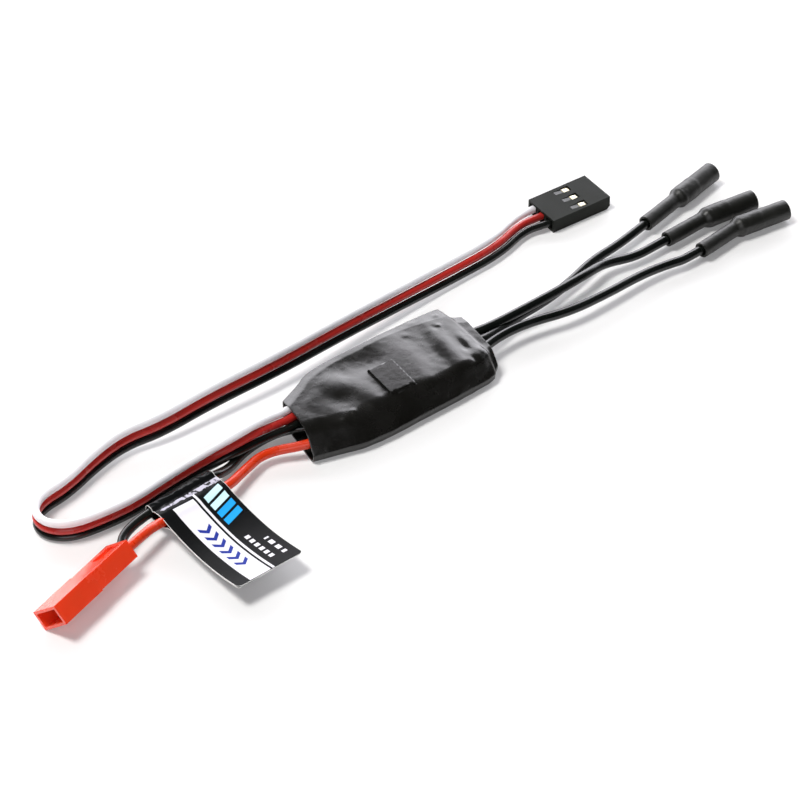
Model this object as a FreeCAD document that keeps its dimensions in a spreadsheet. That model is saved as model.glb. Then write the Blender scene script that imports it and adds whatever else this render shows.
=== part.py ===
import FreeCAD, Part
import math
import os
import Sketcher

# Electronic speed controller for a small brushless motor: a two-board stack in a heat-shrink
# jacket, with a three-wire signal ribbon, two battery leads and three motor leads.
# +Z is up, X runs along the jacket towards the motor leads, and the origin lies under the
# middle of the jacket, on the surface that everything rests on.

Vector = FreeCAD.Vector
Rotation = FreeCAD.Rotation
X_AXIS = Vector(1, 0, 0)
Y_AXIS = Vector(0, 1, 0)
Z_AXIS = Vector(0, 0, 1)

SIZES = (
    # Circuit boards
    ("board_length", 27.6, "power board, along X"),
    ("board_width", 15.2, "power board, along Y"),
    ("board_middle", 3.2, "X of the middle of the power board"),
    ("board_thick", 0.8, "power board"),
    ("board_corner", 1.6, "cut corner at the battery end"),
    ("control_length", 13.0, "control board, along X"),
    ("control_width", 14.2, "control board, along Y"),
    ("control_middle", 1.6, "X of the middle of the control board"),
    ("control_shift", 0.6, "Y of the middle of the control board"),
    ("control_thick", 0.6, "control board"),
    ("board_spacing", 1.4, "air between the two boards"),
    ("link_pin_side", 0.6, "square pin between the boards"),
    ("link_pin_pitch", 2.0, "from one pin to the next"),
    ("link_pin_inset", 0.6, "pin row from the control board's end"),
    # Parts on the boards
    ("fet_length", 5.9, "power transistor, along X"),
    ("fet_width", 4.6, "power transistor, along Y"),
    ("fet_tall", 1.2, "power transistor"),
    ("fet_pitch", 4.9, "transistor rows, along Y"),
    ("fet_step", 6.8, "transistor columns, along X"),
    ("fet_middle", 4.4, "X of the middle of the transistors"),
    ("chip_length", 4.4, "microcontroller body, along X"),
    ("chip_width", 6.5, "microcontroller body, along Y"),
    ("chip_tall", 1.0, "microcontroller body"),
    ("chip_stand", 0.1, "air under the microcontroller"),
    ("chip_x", -0.4, "middle of the microcontroller"),
    ("chip_y", -1.6, "middle of the microcontroller"),
    ("chip_lead_pitch", 0.65, "from one lead to the next"),
    ("chip_lead_width", 0.25, "one lead"),
    ("chip_lead_reach", 0.9, "one lead, out from the body"),
    ("chip_lead_tall", 0.2, "one lead, up from the board"),
    ("regulator_length", 2.4, "voltage regulator, along X"),
    ("regulator_width", 4.4, "voltage regulator, along Y"),
    ("regulator_tall", 1.5, "voltage regulator"),
    ("regulator_spread", 9.0, "between the two regulators"),
    ("regulator_gap", 0.4, "regulators from the control board's end"),
    ("tantalum_length", 3.5, "input capacitor, along X"),
    ("tantalum_width", 2.7, "input capacitor, along Y"),
    ("tantalum_tall", 1.9, "input capacitor"),
    ("tantalum_spread", 10.4, "between the outer input capacitors"),
    ("tantalum_gap", 0.5, "input capacitors from the control board's end"),
    ("ceramic_length", 2.0, "ceramic capacitor"),
    ("ceramic_width", 1.25, "ceramic capacitor"),
    ("ceramic_tall", 0.9, "ceramic capacitor"),
    ("resistor_length", 1.6, "gate resistor"),
    ("resistor_width", 0.8, "gate resistor"),
    ("resistor_tall", 0.45, "gate resistor"),
    ("resistor_pitch", 1.7, "from one row of gate resistors to the next"),
    ("resistor_spread", 2.0, "from one gate resistor to the next in a row"),
    ("resonator_length", 1.3, "resonator, along X"),
    ("resonator_width", 3.2, "resonator, along Y"),
    ("resonator_tall", 0.8, "resonator"),
    # Heat-shrink jacket
    ("film_wall", 0.35, "film of the jacket"),
    ("film_press", 0.1, "depth by which the surface below presses the jacket flat"),
    ("under_gap", 0.2, "air below the lower transistors"),
    ("top_gap", 0.05, "air above the microcontroller"),
    ("side_gap", 1.3, "air beside the power board"),
    ("edge_low", 1.1, "radius of the jacket's lower edges"),
    ("edge_fold", 0.9, "radius of the fold along the jacket's -Y side"),
    ("edge_ridge", 1.6, "radius where the top turns down to each side"),
    ("edge_eaves", 0.5, "radius of the jacket's far upper edge"),
    ("fold_rise", 1.9, "fold above the underside"),
    ("foot_draw", 0.25, "underside inside the fold, -Y side"),
    ("near_slope", 3.0, "slope from the top down to the fold, along Y"),
    ("far_slope", 3.6, "slope from the top to the far upper edge, along Y"),
    ("eaves_drop", 1.0, "far upper edge below the top"),
    ("imprint_rise", 0.2, "how far the microcontroller shows through the top"),
    ("mouth_reach", 8.8, "open mouth beyond the board, battery end"),
    ("mouth_near", 5.9, "half width of the mouth, -Y side"),
    ("mouth_far", 5.8, "half width of the mouth, +Y side"),
    ("mouth_skew", 11.0, "degrees that the mouth is cut askew"),
    ("shoulder_draw", 0.4, "how far the shoulders are drawn in, each side"),
    ("shoulder_run", 5.6, "length of the shoulders along the board"),
    ("slope_run", 8.0, "film starts down this far before the board's end"),
    ("slope_drop", 0.1, "how much lower the film is there"),
    ("tail_gap", 0.75, "film past the board's end before it is drawn in"),
    ("tail_drop", 1.0, "how much lower the film is there"),
    ("tail_draw", 0.5, "how far the film is drawn in there, -Y side"),
    ("neck_gap", 0.55, "run over which the film is drawn in to the lip"),
    ("neck_near", 8.1, "half width of the film after that run, -Y side"),
    ("neck_far", 6.1, "half width of the film after that run, +Y side"),
    ("neck_low", 0.3, "underside of the film there"),
    ("neck_drop", 1.2, "how much lower the film is there"),
    ("lip_reach", 2.8, "lip beyond the board, motor end"),
    ("lip_near", 7.5, "half width of the lip, -Y side"),
    ("lip_far", 5.0, "half width of the lip, +Y side"),
    ("lip_floor", 0.8, "underside of the lip"),
    ("lip_tall", 4.0, "height of the lip"),
    ("lip_skew", 8.5, "degrees that the lip is cut askew"),
    # Wires
    ("servo_wire", 1.4, "diameter of one wire of the ribbon"),
    ("servo_web", 0.1, "web between two wires of the ribbon"),
    ("power_wire", 1.7, "diameter of a battery or motor lead"),
    ("wire_lift", 0.1, "air between a lead and the board that it lies on"),
    ("battery_joint_inset", 1.8, "joints from the battery end of the board"),
    ("motor_joint_inset", 4.0, "joints from the motor end of the board"),
    ("joint_tall", 1.3, "solder joint"),
    ("joint_foot", 0.8, "radius of a lead's solder joint at the board"),
    ("joint_crown", 0.55, "radius of a lead's solder joint at its top"),
    ("signal_foot", 0.62, "radius of a ribbon wire's solder joint at the board"),
    ("signal_crown", 0.45, "radius of a ribbon wire's solder joint at its top"),
    ("strand_bare", 1.2, "bare strands from the insulation to the joint's middle"),
    ("power_strand", 0.42, "radius of the bare strands of a lead"),
    ("signal_strand", 0.28, "radius of the bare strands of a ribbon wire"),
    # Signal plug
    ("servo_plug_length", 12.9, "housing, wire end to mouth"),
    ("servo_plug_width", 7.8, "housing"),
    ("servo_plug_tall", 2.75, "housing"),
    ("servo_plug_x", 52.5, "middle of the wire end"),
    ("servo_plug_y", 20.8, "middle of the wire end"),
    ("servo_plug_turn", -4.0, "degrees from X to the way the mouth points"),
    ("contact_pitch", 2.54, "from one contact to the next"),
    ("servo_cavity", 1.8, "side of one square cavity"),
    ("servo_mouth_wall", 1.0, "wall at the mouth"),
    ("pin_hole", 0.9, "side of a pin's hole in the mouth"),
    ("window_length", 1.6, "window over each contact"),
    ("window_width", 1.35, "window over each contact"),
    ("window_inset", 4.6, "window's far edge from the mouth"),
    ("tongue_length", 1.9, "moulded tongue behind each window"),
    ("tongue_width", 1.0, "moulded tongue"),
    ("tongue_sink", 0.2, "tongue's face below the housing's top"),
    ("plug_bevel", 0.6, "bevel under the mouth"),
    ("contact_side", 1.5, "socket end of a contact"),
    ("contact_bore", 0.7, "square hole that takes the pin"),
    ("socket_length", 5.6, "socket end of a contact"),
    ("barrel_length", 2.4, "crimp barrel of a contact"),
    ("barrel_radius", 0.6, "crimp barrel of a contact"),
    ("contact_play", 0.1, "contact from the mouth wall"),
    # Battery plug
    ("power_plug_length", 18.9, "housing, wire end to mouth"),
    ("power_plug_width", 6.05, "housing"),
    ("power_plug_tall", 3.64, "housing"),
    ("power_plug_x", -60.03, "middle of the wire end"),
    ("power_plug_y", -5.83, "middle of the wire end"),
    ("power_plug_turn", -162.8, "degrees from X to the way the mouth points"),
    ("power_plug_roll", 40.7, "degrees that it lies rolled on its own axis"),
    ("shroud_wall", 0.55, "wall of the shroud"),
    ("shroud_depth", 9.4, "depth of the mouth"),
    ("shroud_step", 0.12, "shroud stands out from the wire half"),
    ("shroud_length", 9.45, "wider half of the housing"),
    ("pin_pitch", 2.5, "between the two pins"),
    ("pin_radius", 0.47, "round pin"),
    ("pin_length", 6.4, "pin inside the mouth"),
    ("wire_well", 1.1, "radius of a wire's hole in the housing"),
    ("plug_divider", 1.6, "plastic between the wires' holes and the mouth"),
    ("catch_length", 4.2, "recess of the catch"),
    ("catch_width", 3.4, "recess of the catch"),
    ("catch_sink", 0.5, "depth of the catch's recess"),
    ("catch_inset", 0.9, "catch's recess from the wire end"),
    ("crimp_radius", 0.8, "crimp on a battery pin"),
    ("wire_seat", 3.0, "insulation reaches this far into a plug"),
    ("positive_run", 5.0, "straight run of the red battery lead behind its plug"),
    ("negative_run", 1.0, "straight run of the black battery lead behind its plug"),
    ("fan_run", 0.4, "ribbon wires have fanned out this far behind their plug"),
    # Bullet sockets and their sleeves
    ("bullet_diameter", 2.9, "socket"),
    ("bullet_bore", 2.0, "bore that takes the motor's bullet"),
    ("bullet_depth", 6.2, "depth of that bore"),
    ("bullet_chamfer", 0.2, "chamfer of the bore"),
    ("sleeve_wall", 0.5, "film of a sleeve over its socket"),
    ("sleeve_shrunk", 0.54, "film of a sleeve over its wire, where it shrank further"),
    ("sleeve_play", 0.03, "sleeve from what it grips"),
    ("sleeve_narrow", 9.6, "sleeve over the wire"),
    ("sleeve_neck", 1.4, "cone between wire and socket"),
    ("sleeve_wide", 9.4, "sleeve over the socket"),
    ("sleeve_recess", 0.4, "socket behind the sleeve's open end"),
    ("sleeve_run", 3.0, "straight run of a motor lead behind its sleeve"),
    # Label
    ("label_length", 13.3, "along the leads"),
    ("label_tip", 25.2, "flag's tip from the jacket's centre line"),
    ("label_x", -50.8, "end of the label nearest the plug"),
    ("label_ply", 0.15, "one ply of the sticker"),
    ("label_slack", 0.3, "loop of the sticker around the leads"),
    ("label_sag", 0.5, "how far the flag sags"),
    ("label_lift", 1.1, "how far its tip is lifted"),
)

# Routes of the leads between their ends: X, Y, Z of chosen points, each where the wire turns.
# The ribbon's last number is how far it has rolled, in degrees: 0 lies flat with the signal
# wire to its right, 90 stands on edge with the signal wire on top.
RIBBON_ROUTE = (
    (-14.2, 3.6, 3.7, 18),
    (-19.0, 2.6, 3.65, 34),
    (-24.6, 3.1, 4.0, 63),
    (-30.2, 2.7, 4.25, 76),
    (-36.2, 4.0, 2.7, 84),
    (-44.0, 3.7, 2.4, 90),
    (-51.6, 2.8, 2.3, 90),
    (-58.0, 3.2, 2.3, 90),
    (-63.3, 4.2, 2.3, 90),
    (-66.3, 7.1, 2.3, 90),
    (-66.2, 10.7, 2.3, 90),
    (-63.3, 12.9, 2.3, 92),
    (-57.6, 13.4, 2.3, 95),
    (-50.4, 15.8, 2.5, 98),
    (-43.6, 16.9, 2.8, 101),
    (-37.0, 15.3, 3.4, 104),
    (-27.0, 15.2, 4.3, 107),
    (-12.0, 14.6, 4.7, 110),
    (2.0, 15.8, 4.1, 113),
    (16.6, 17.0, 3.0, 118),
    (29.0, 17.8, 2.3, 126),
    (39.6, 18.4, 2.0, 142),
    (47.2, 21.1, 1.5, 164),
)
RIBBON_START = 4.3
POSITIVE_START = -4.4
POSITIVE_ROUTE = (
    (-14.0, -4.8, 3.45),
    (-19.6, -3.7, 2.6),
    (-26.4, 0.2, 1.9),
    (-32.0, -1.6, 2.2),
    (-37.6, -3.9, 2.9),
    (-50.9, -3.95, 3.0),
)
NEGATIVE_START = -0.6
NEGATIVE_ROUTE = (
    (-12.9, -0.4, 3.1),
    (-16.3, 0.9, 1.3),
    (-19.5, 3.1, 1.25),
    (-23.8, 4.0, 0.9),
    (-28.9, 3.3, 0.9),
    (-33.1, 1.4, 0.95),
    (-37.7, -0.1, 2.9),
    (-51.0, -0.6, 2.9),
    (-57.2, -2.1, 2.8),
)
# The straight runs of the two leads that the label is wrapped around
LABEL_NEAR_RUN = POSITIVE_ROUTE[-2:]
LABEL_FAR_RUN = NEGATIVE_ROUTE[-3:-1]
# Each motor lead: its letter, the Y where it is soldered, and its route
MOTOR_ROUTES = (
    (
        "a",
        2.7,
        (
            (18.2, 1.2, 3.5),
            (23.6, 0.5, 3.4),
            (30.5, 0.3, 3.6),
            (38.2, 0.1, 3.9),
            (45.6, 0.8, 3.6),
            (51.4, 2.2, 2.5),
            (57.4, 0.7, 1.9),
        ),
    ),
    (
        "b",
        -0.9,
        (
            (18.4, -1.4, 3.45),
            (23.4, -0.7, 2.7),
            (29.8, 0.7, 2.0),
            (37.6, 1.4, 1.7),
            (44.6, 2.8, 1.8),
            (50.8, 4.6, 1.9),
            (57.2, 5.2, 1.8),
        ),
    ),
    (
        "c",
        -4.5,
        (
            (18.6, -3.3, 3.45),
            (24.0, -2.4, 3.3),
            (29.6, -2.8, 3.3),
            (37.4, -4.8, 3.1),
            (46.0, -4.8, 2.7),
            (55.0, -4.3, 2.3),
            (60.8, -4.7, 1.9),
        ),
    ),
)
# Each bullet socket: its letter, X and Y of the sleeve's neck, and the way that the wire's
# half and the socket's half of the sleeve point, in degrees from X.
BULLETS = (
    ("a", 74.9, 1.05, 1.7, -8.0),
    ("b", 74.8, 8.46, 11.2, 11.2),
    ("c", 77.6, -4.62, 5.6, -9.0),
)

doc = FreeCAD.newDocument("speed_controller")
sheet = doc.addObject("Spreadsheet::Sheet", "Sizes")
for row, (alias, value, meaning) in enumerate(SIZES, start=1):
    sheet.set(f"A{row}", alias)
    sheet.set(f"B{row}", str(value))
    sheet.set(f"C{row}", meaning)
    sheet.setAlias(f"B{row}", alias)
doc.recompute()

nodes = []


class Rule:
    """A size worked out from the sheet: its expression and its present value."""

    def __init__(self, text, value):
        self.text = text
        self.value = value

    def joined(self, sign, other, value):
        return Rule(f"({self.text} {sign} {as_rule(other).text})", value)

    def __add__(self, other):
        return self.joined("+", other, self.value + as_rule(other).value)

    def __sub__(self, other):
        return self.joined("-", other, self.value - as_rule(other).value)

    def __mul__(self, other):
        return self.joined("*", other, self.value * as_rule(other).value)

    def __truediv__(self, other):
        return self.joined("/", other, self.value / as_rule(other).value)

    def __neg__(self):
        return self * -1


def as_rule(value):
    """Return a Rule as it is, and a plain number as a Rule of that number."""
    if isinstance(value, Rule):
        return value
    return Rule(str(value), float(value))


def size(alias):
    """Return the sheet's cell of this name as a Rule."""
    return Rule(f"Sizes.{alias}", float(sheet.get(alias)))


def bind(thing, **rules):
    """Bind the properties of an object to Rules; an underscore in a name stands for a dot."""
    for name, rule in rules.items():
        thing.setExpression(name.replace("_", "."), as_rule(rule).text)


def keep(thing, label):
    """Name a sub-part and put it on the list of nodes."""
    thing.Label = label
    nodes.append(thing)
    return thing


# Part primitives, groups and booleans


def box(length, width, height, x, y, z):
    """A block with its middle at x and y and its underside at z."""
    block = doc.addObject("Part::Box", "Block")
    bind(block, Length=length, Width=width, Height=height)
    bind(
        block,
        Placement_Base_x=as_rule(x) - as_rule(length) / 2,
        Placement_Base_y=as_rule(y) - as_rule(width) / 2,
        Placement_Base_z=z,
    )
    return block


def rod(radius, height, place):
    """A cylinder whose axis is the Z of its placement."""
    cylinder = doc.addObject("Part::Cylinder", "Rod")
    bind(cylinder, Radius=radius, Height=height)
    cylinder.Placement = place
    return cylinder


def cone(base_radius, top_radius, height, place):
    """A cone's frustum whose axis is the Z of its placement."""
    frustum = doc.addObject("Part::Cone", "Frustum")
    bind(frustum, Radius1=base_radius, Radius2=top_radius, Height=height)
    frustum.Placement = place
    return frustum


def group(solids, label):
    """Several separate solids as one node."""
    compound = doc.addObject("Part::Compound", "Group")
    compound.Links = solids
    return keep(compound, label)


def fused(solids):
    """Several solids joined into one."""
    union = doc.addObject("Part::MultiFuse", "Fusion")
    union.Shapes = solids
    return union


def cut(base, tool):
    """One solid less another."""
    rest = doc.addObject("Part::Cut", "Cut")
    rest.Base = base
    rest.Tool = tool
    return rest


# PartDesign bodies and their sketches


def new_body(label):
    """An empty body, kept as a node."""
    return keep(doc.addObject("PartDesign::Body", "Body"), label)


def origin_item(body, role):
    """A body's own origin plane or axis."""
    return next(item for item in body.Origin.OriginFeatures if item.Role == role)


def new_sketch(body, plane, offset=0, skew=None):
    """A sketch on an origin plane of its body, set off along the plane's normal."""
    sketch = body.newObject("Sketcher::SketchObject", "Sketch")
    sketch.AttachmentSupport = [(origin_item(body, plane), "")]
    sketch.MapMode = "FlatFace"
    sketch.setExpression("AttachmentOffset.Base.z", as_rule(offset).text)
    if skew is not None:
        sketch.AttachmentOffset = FreeCAD.Placement(Vector(), Rotation(Y_AXIS, skew.value))
        sketch.setExpression("AttachmentOffset.Rotation.Angle", skew.text)
    return sketch


def dimension(sketch, name, kind, *target, rule):
    """Add a named dimension to a sketch and bind it."""
    rule = as_rule(rule)
    index = sketch.addConstraint(Sketcher.Constraint(kind, *target, rule.value))
    sketch.renameConstraint(index, name)
    sketch.setExpression(f"Constraints.{name}", rule.text)


def polygon(sketch, points):
    """A closed outline through points, each held by its distances from the origin."""
    points = [(as_rule(across), as_rule(up)) for across, up in points]
    first = sketch.GeometryCount
    for here, there in zip(points, points[1:] + points[:1]):
        start = Vector(here[0].value, here[1].value, 0)
        end = Vector(there[0].value, there[1].value, 0)
        sketch.addGeometry(Part.LineSegment(start, end), False)
    for step, (across, up) in enumerate(points):
        line = first + step
        following = first + (step + 1) % len(points)
        sketch.addConstraint(Sketcher.Constraint("Coincident", line, 2, following, 1))
        if across.value == 0:
            sketch.addConstraint(Sketcher.Constraint("PointOnObject", line, 1, -2))
        else:
            dimension(sketch, f"across{line}", "DistanceX", -1, 1, line, 1, rule=across)
        if up.value == 0:
            sketch.addConstraint(Sketcher.Constraint("PointOnObject", line, 1, -1))
        else:
            dimension(sketch, f"up{line}", "DistanceY", -1, 1, line, 1, rule=up)


def rectangle(sketch, left, right, low, high):
    """A closed rectangle."""
    polygon(sketch, [(left, low), (right, low), (right, high), (left, high)])


def rounded_outline(sketch, corners):
    """A closed outline through corners, each given as across, up and its radius."""
    count = len(corners)
    spots = [Vector(across.value, up.value, 0) for across, up, _ in corners]
    arcs = []
    for step, (across, up, radius) in enumerate(corners):
        here = spots[step]
        inward = (spots[step - 1] - here).normalize()
        outward = (spots[(step + 1) % count] - here).normalize()
        half_turn = (math.pi - inward.getAngle(outward)) / 2
        setback = radius.value * math.tan(half_turn)
        reach = radius.value / math.cos(half_turn)
        middle_way = (inward + outward).normalize()
        arcs.append((here + inward * setback, here + middle_way * (reach - radius.value),
                     here + outward * setback))
    for step in range(count):
        following = (step + 1) % count
        sketch.addGeometry(Part.LineSegment(arcs[step][2], arcs[following][0]), False)
        sketch.addGeometry(Part.Arc(*arcs[following]), False)
    for step, spot in enumerate(spots):
        sketch.addGeometry(Part.Point(spot), True)
        across, up, radius = corners[step]
        before, after, point = (2 * step - 2) % (2 * count), 2 * step, 2 * count + step
        arc = (2 * step - 1) % (2 * count)
        sketch.addConstraint(Sketcher.Constraint("Tangent", before, 2, arc, 1))
        sketch.addConstraint(Sketcher.Constraint("Tangent", arc, 2, after, 1))
        sketch.addConstraint(Sketcher.Constraint("PointOnObject", point, 1, before))
        sketch.addConstraint(Sketcher.Constraint("PointOnObject", point, 1, after))
        dimension(sketch, f"radius{step}", "Radius", arc, rule=radius)
        dimension(sketch, f"across{step}", "DistanceX", -1, 1, point, 1, rule=across)
        if up.value == 0:
            sketch.addConstraint(Sketcher.Constraint("PointOnObject", point, 1, -1))
        else:
            dimension(sketch, f"up{step}", "DistanceY", -1, 1, point, 1, rule=up)


def pad(body, sketch, length, reverse=False):
    """Add material from a sketch."""
    feature = body.newObject("PartDesign::Pad", "Pad")
    feature.Profile = sketch
    feature.Reversed = reverse
    bind(feature, Length=length)
    return feature


def pocket(body, sketch, depth, reverse=False):
    """Cut material from a sketch, and check that it cuts some."""
    doc.recompute()
    before = body.Shape.Volume
    feature = body.newObject("PartDesign::Pocket", "Pocket")
    feature.Profile = sketch
    feature.Reversed = reverse
    bind(feature, Length=depth)
    doc.recompute()
    if body.Shape.Volume >= before:
        raise RuntimeError(f"{body.Label}: a pocket cuts nothing")
    return feature


def row_of(body, features, count, length):
    """Repeat features along the body's Y axis."""
    pattern = body.newObject("PartDesign::LinearPattern", "Row")
    pattern.Originals = features
    pattern.Direction = (origin_item(body, "Y_Axis"), [""])
    pattern.Occurrences = count
    bind(pattern, Length=length)
    body.Tip = pattern
    doc.recompute()
    return pattern


# Wires


def bends(points):
    """The path through points: straight runs joined by arcs as large as the runs allow."""
    corners = [Vector(*point) for point in points]
    edges = []
    radii = []
    start = corners[0]
    for before, here, after in zip(corners, corners[1:], corners[2:]):
        inward = (before - here).normalize()
        outward = (after - here).normalize()
        half_turn = (math.pi - inward.getAngle(outward)) / 2
        setback = 0.45 * min((here - before).Length, (after - here).Length)
        radius = setback / math.tan(half_turn)
        first = here + inward * setback
        last = here + outward * setback
        middle_way = (inward + outward).normalize()
        middle = here + middle_way * (radius / math.cos(half_turn) - radius)
        edges.append(Part.LineSegment(start, first).toShape())
        edges.append(Part.Arc(first, middle, last).toShape())
        radii.append(radius)
        start = last
    edges.append(Part.LineSegment(start, corners[-1]).toShape())
    return Part.Wire(edges), radii


def wire_tube(label, points, diameter):
    """A lead's tube along its route, kept as a node."""
    path, radii = bends(points)
    direction = Vector(*points[1]) - Vector(*points[0])
    circle = Part.Circle(Vector(*points[0]), direction, diameter / 2)
    tube = path.makePipeShell([Part.Wire(circle.toShape())], True, False)
    section = math.pi * diameter**2 / 4
    volume_ratio = tube.Volume / (section * path.Length)
    if abs(volume_ratio - 1) > 0.01:
        raise RuntimeError(f"{label}: the tube's volume is off by {volume_ratio:.3f}")
    turns = ", ".join(f"{radius:.1f}" for radius in radii)
    print(f"{label}: length {path.Length:.1f} mm, radii {turns} mm")
    feature = doc.addObject("Part::Feature", "Wire")
    feature.Shape = tube
    return keep(feature, label)


# Levels and ends that several pieces share

film = size("film_wall")
board_left = size("board_middle") - size("board_length") / 2
board_right = size("board_middle") + size("board_length") / 2
power_under = film + size("under_gap") + size("fet_tall")
power_top = power_under + size("board_thick")
control_under = power_top + size("board_spacing")
control_top = control_under + size("control_thick")
control_left = size("control_middle") - size("control_length") / 2
control_right = size("control_middle") + size("control_length") / 2
chip_under = control_top + size("chip_stand")
body_top = chip_under + size("chip_tall") + size("top_gap") + film
half_body = size("board_width") / 2 + size("side_gap") + film
shoulder = half_body - size("shoulder_draw")
tail = half_body - size("tail_draw")
lip_top = size("lip_floor") + size("lip_tall")


# Heat-shrink jacket: a film tube over the boards, open at both ends


def jacket_station(body, inset, x, skew, near, far, low, high):
    """One cross-section of the jacket, drawn inwards by inset."""
    sketch = new_sketch(body, "YZ_Plane", x, skew)
    low_edge = size("edge_low") - inset
    ridge = size("edge_ridge") - inset
    slack = inset / 2
    foot = size("foot_draw") - near
    fold = low + size("fold_rise")
    corners = (
        (foot + inset, low + inset, low_edge),
        (far - inset, low + inset, low_edge),
        (far - inset, high - size("eaves_drop") - slack, size("edge_eaves") - inset),
        (far - size("far_slope"), high - inset, ridge),
        (size("near_slope") - near + slack, high - inset, ridge),
        (inset + slack - near, fold, size("edge_fold") - inset),
    )
    rounded_outline(sketch, corners)
    return sketch


def jacket_stations(body, inset, base):
    """All cross-sections of the jacket from the mouth to the lip, standing on a level."""
    level = as_rule(0.0001)
    tail_skew = -size("lip_skew") / 2
    tail_x = board_right + size("tail_gap")
    stations = (
        (board_left - size("mouth_reach"), -size("mouth_skew"), size("mouth_near"),
         size("mouth_far"), base, body_top),
        (board_left, level, shoulder, shoulder, base, body_top),
        (board_left + size("shoulder_run"), level, half_body, half_body, base, body_top),
        (board_right - size("slope_run"), level, half_body, half_body, base,
         body_top - size("slope_drop")),
        (tail_x, tail_skew, tail, half_body, base, body_top - size("tail_drop")),
        (tail_x + size("neck_gap"), tail_skew, size("neck_near"), size("neck_far"),
         base + size("neck_low"), body_top - size("neck_drop")),
        (board_right + size("lip_reach"), -size("lip_skew"), size("lip_near"), size("lip_far"),
         size("lip_floor"), lip_top),
    )
    return [jacket_station(body, inset, *station) for station in stations]


def loft(body, kind, sketches):
    """A loft through sketches, with straight sides from each to the next."""
    feature = body.newObject(kind, "Loft")
    feature.Profile = sketches[0]
    feature.Sections = sketches[1:]
    feature.Ruled = True
    doc.recompute()
    return feature


jacket = new_body("heat_shrink_jacket")
ground = as_rule(0.0)
press = size("film_press")
loft(jacket, "PartDesign::AdditiveLoft", jacket_stations(jacket, ground, -press))
loft(jacket, "PartDesign::SubtractiveLoft", jacket_stations(jacket, film, ground))
below = new_sketch(jacket, "XY_Plane")
rectangle(below, board_left - size("board_length"), board_right + size("board_length"),
          -size("board_width"), size("board_width"))
pocket(jacket, below, press)
imprint = new_sketch(jacket, "XY_Plane", body_top - film / 2)
rectangle(imprint, size("chip_x") - size("chip_length") / 2 - film,
          size("chip_x") + size("chip_length") / 2 + film,
          size("chip_y") - size("chip_width") / 2 - film,
          size("chip_y") + size("chip_width") / 2 + film)
pad(jacket, imprint, film / 2 + size("imprint_rise"))

# Boards and the pins between them

power_board = new_body("power_board")
outline = new_sketch(power_board, "XY_Plane", power_under)
half_board = size("board_width") / 2
corner = size("board_corner")
polygon(
    outline,
    [
        (board_left + corner, -half_board),
        (board_right, -half_board),
        (board_right, half_board),
        (board_left + corner, half_board),
        (board_left, half_board - corner),
        (board_left, -half_board + corner),
    ],
)
pad(power_board, outline, size("board_thick"))

control_board = new_body("control_board")
outline = new_sketch(control_board, "XY_Plane", control_under)
half_control = size("control_width") / 2
rectangle(outline, control_left, control_right, size("control_shift") - half_control,
          size("control_shift") + half_control)
pad(control_board, outline, size("control_thick"))

link_pins = []
for row_x in (control_left + size("link_pin_inset"), control_right - size("link_pin_inset")):
    for step in range(-2, 3):
        side = size("link_pin_side")
        pin_y = size("link_pin_pitch") * step
        link_pins.append(box(side, side, size("board_spacing"), row_x, pin_y, power_top))
group(link_pins, "board_link_pins")

# Microcontroller on the control board

chip_x = size("chip_x")
chip_y = size("chip_y")
keep(
    box(size("chip_length"), size("chip_width"), size("chip_tall"), chip_x, chip_y, chip_under),
    "microcontroller",
)
lead_reach = size("chip_lead_reach")
lead_offset = (size("chip_length") + lead_reach) / 2
leads_per_side = 10
middle_lead = (leads_per_side - 1) / 2
chip_leads = []
for side in (-1, 1):
    for step in range(leads_per_side):
        lead_y = chip_y + size("chip_lead_pitch") * (step - middle_lead)
        lead_x = chip_x + lead_offset * side
        chip_leads.append(
            box(lead_reach, size("chip_lead_width"), size("chip_lead_tall"), lead_x, lead_y,
                control_top)
        )
group(chip_leads, "microcontroller_leads")

# Power transistors: one column between the boards and two columns under the power board


def transistor_column(x, z):
    """Three transistors in a column across the board, one for each motor phase."""
    return [
        box(size("fet_length"), size("fet_width"), size("fet_tall"), x, size("fet_pitch") * row, z)
        for row in (-1, 0, 1)
    ]


first_column = size("fet_middle") - size("fet_step") / 2
second_column = size("fet_middle") + size("fet_step") / 2
group(transistor_column(size("control_middle"), power_top), "upper_transistors")
lower_transistors = transistor_column(first_column, power_under - size("fet_tall"))
lower_transistors += transistor_column(second_column, power_under - size("fet_tall"))
group(lower_transistors, "lower_transistors")

# Voltage regulators and capacitors of the supply

regulator_x = control_left - size("regulator_gap") - size("regulator_length") / 2
tantalum_x = control_right + size("tantalum_gap") + size("tantalum_length") / 2
regulators = []
tantalums = []
for side in (-1, 1):
    regulators.append(
        box(size("regulator_length"), size("regulator_width"), size("regulator_tall"),
            regulator_x, size("regulator_spread") * side / 2, power_top)
    )
for side in (-1, 0, 1):
    tantalums.append(
        box(size("tantalum_length"), size("tantalum_width"), size("tantalum_tall"),
            tantalum_x, size("tantalum_spread") * side / 2, power_top)
    )
group(regulators, "voltage_regulators")
group(tantalums, "input_capacitors")

# Small parts on the control board, clear of the microcontroller and its leads

free_right = chip_x + size("chip_length") / 2 + lead_reach
ceramic_x = free_right + (control_right - free_right) / 2
ceramics = []
for step in range(-2, 3):
    ceramic_y = size("ceramic_width") * 2 * step
    ceramics.append(
        box(size("ceramic_length"), size("ceramic_width"), size("ceramic_tall"),
            ceramic_x, ceramic_y, control_top)
    )
group(ceramics, "ceramic_capacitors")

chip_far = chip_y + size("chip_width") / 2
resistor_y = chip_far + (size("control_shift") + half_control - chip_far) / 2
resistors = []
for row in (-1, 1):
    for step in range(3):
        resistor_x = control_left + size("resistor_length") + size("resistor_spread") * step
        resistors.append(
            box(size("resistor_length"), size("resistor_width"), size("resistor_tall"),
                resistor_x, resistor_y + size("resistor_pitch") * row / 2, control_top)
        )
group(resistors, "gate_resistors")

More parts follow.
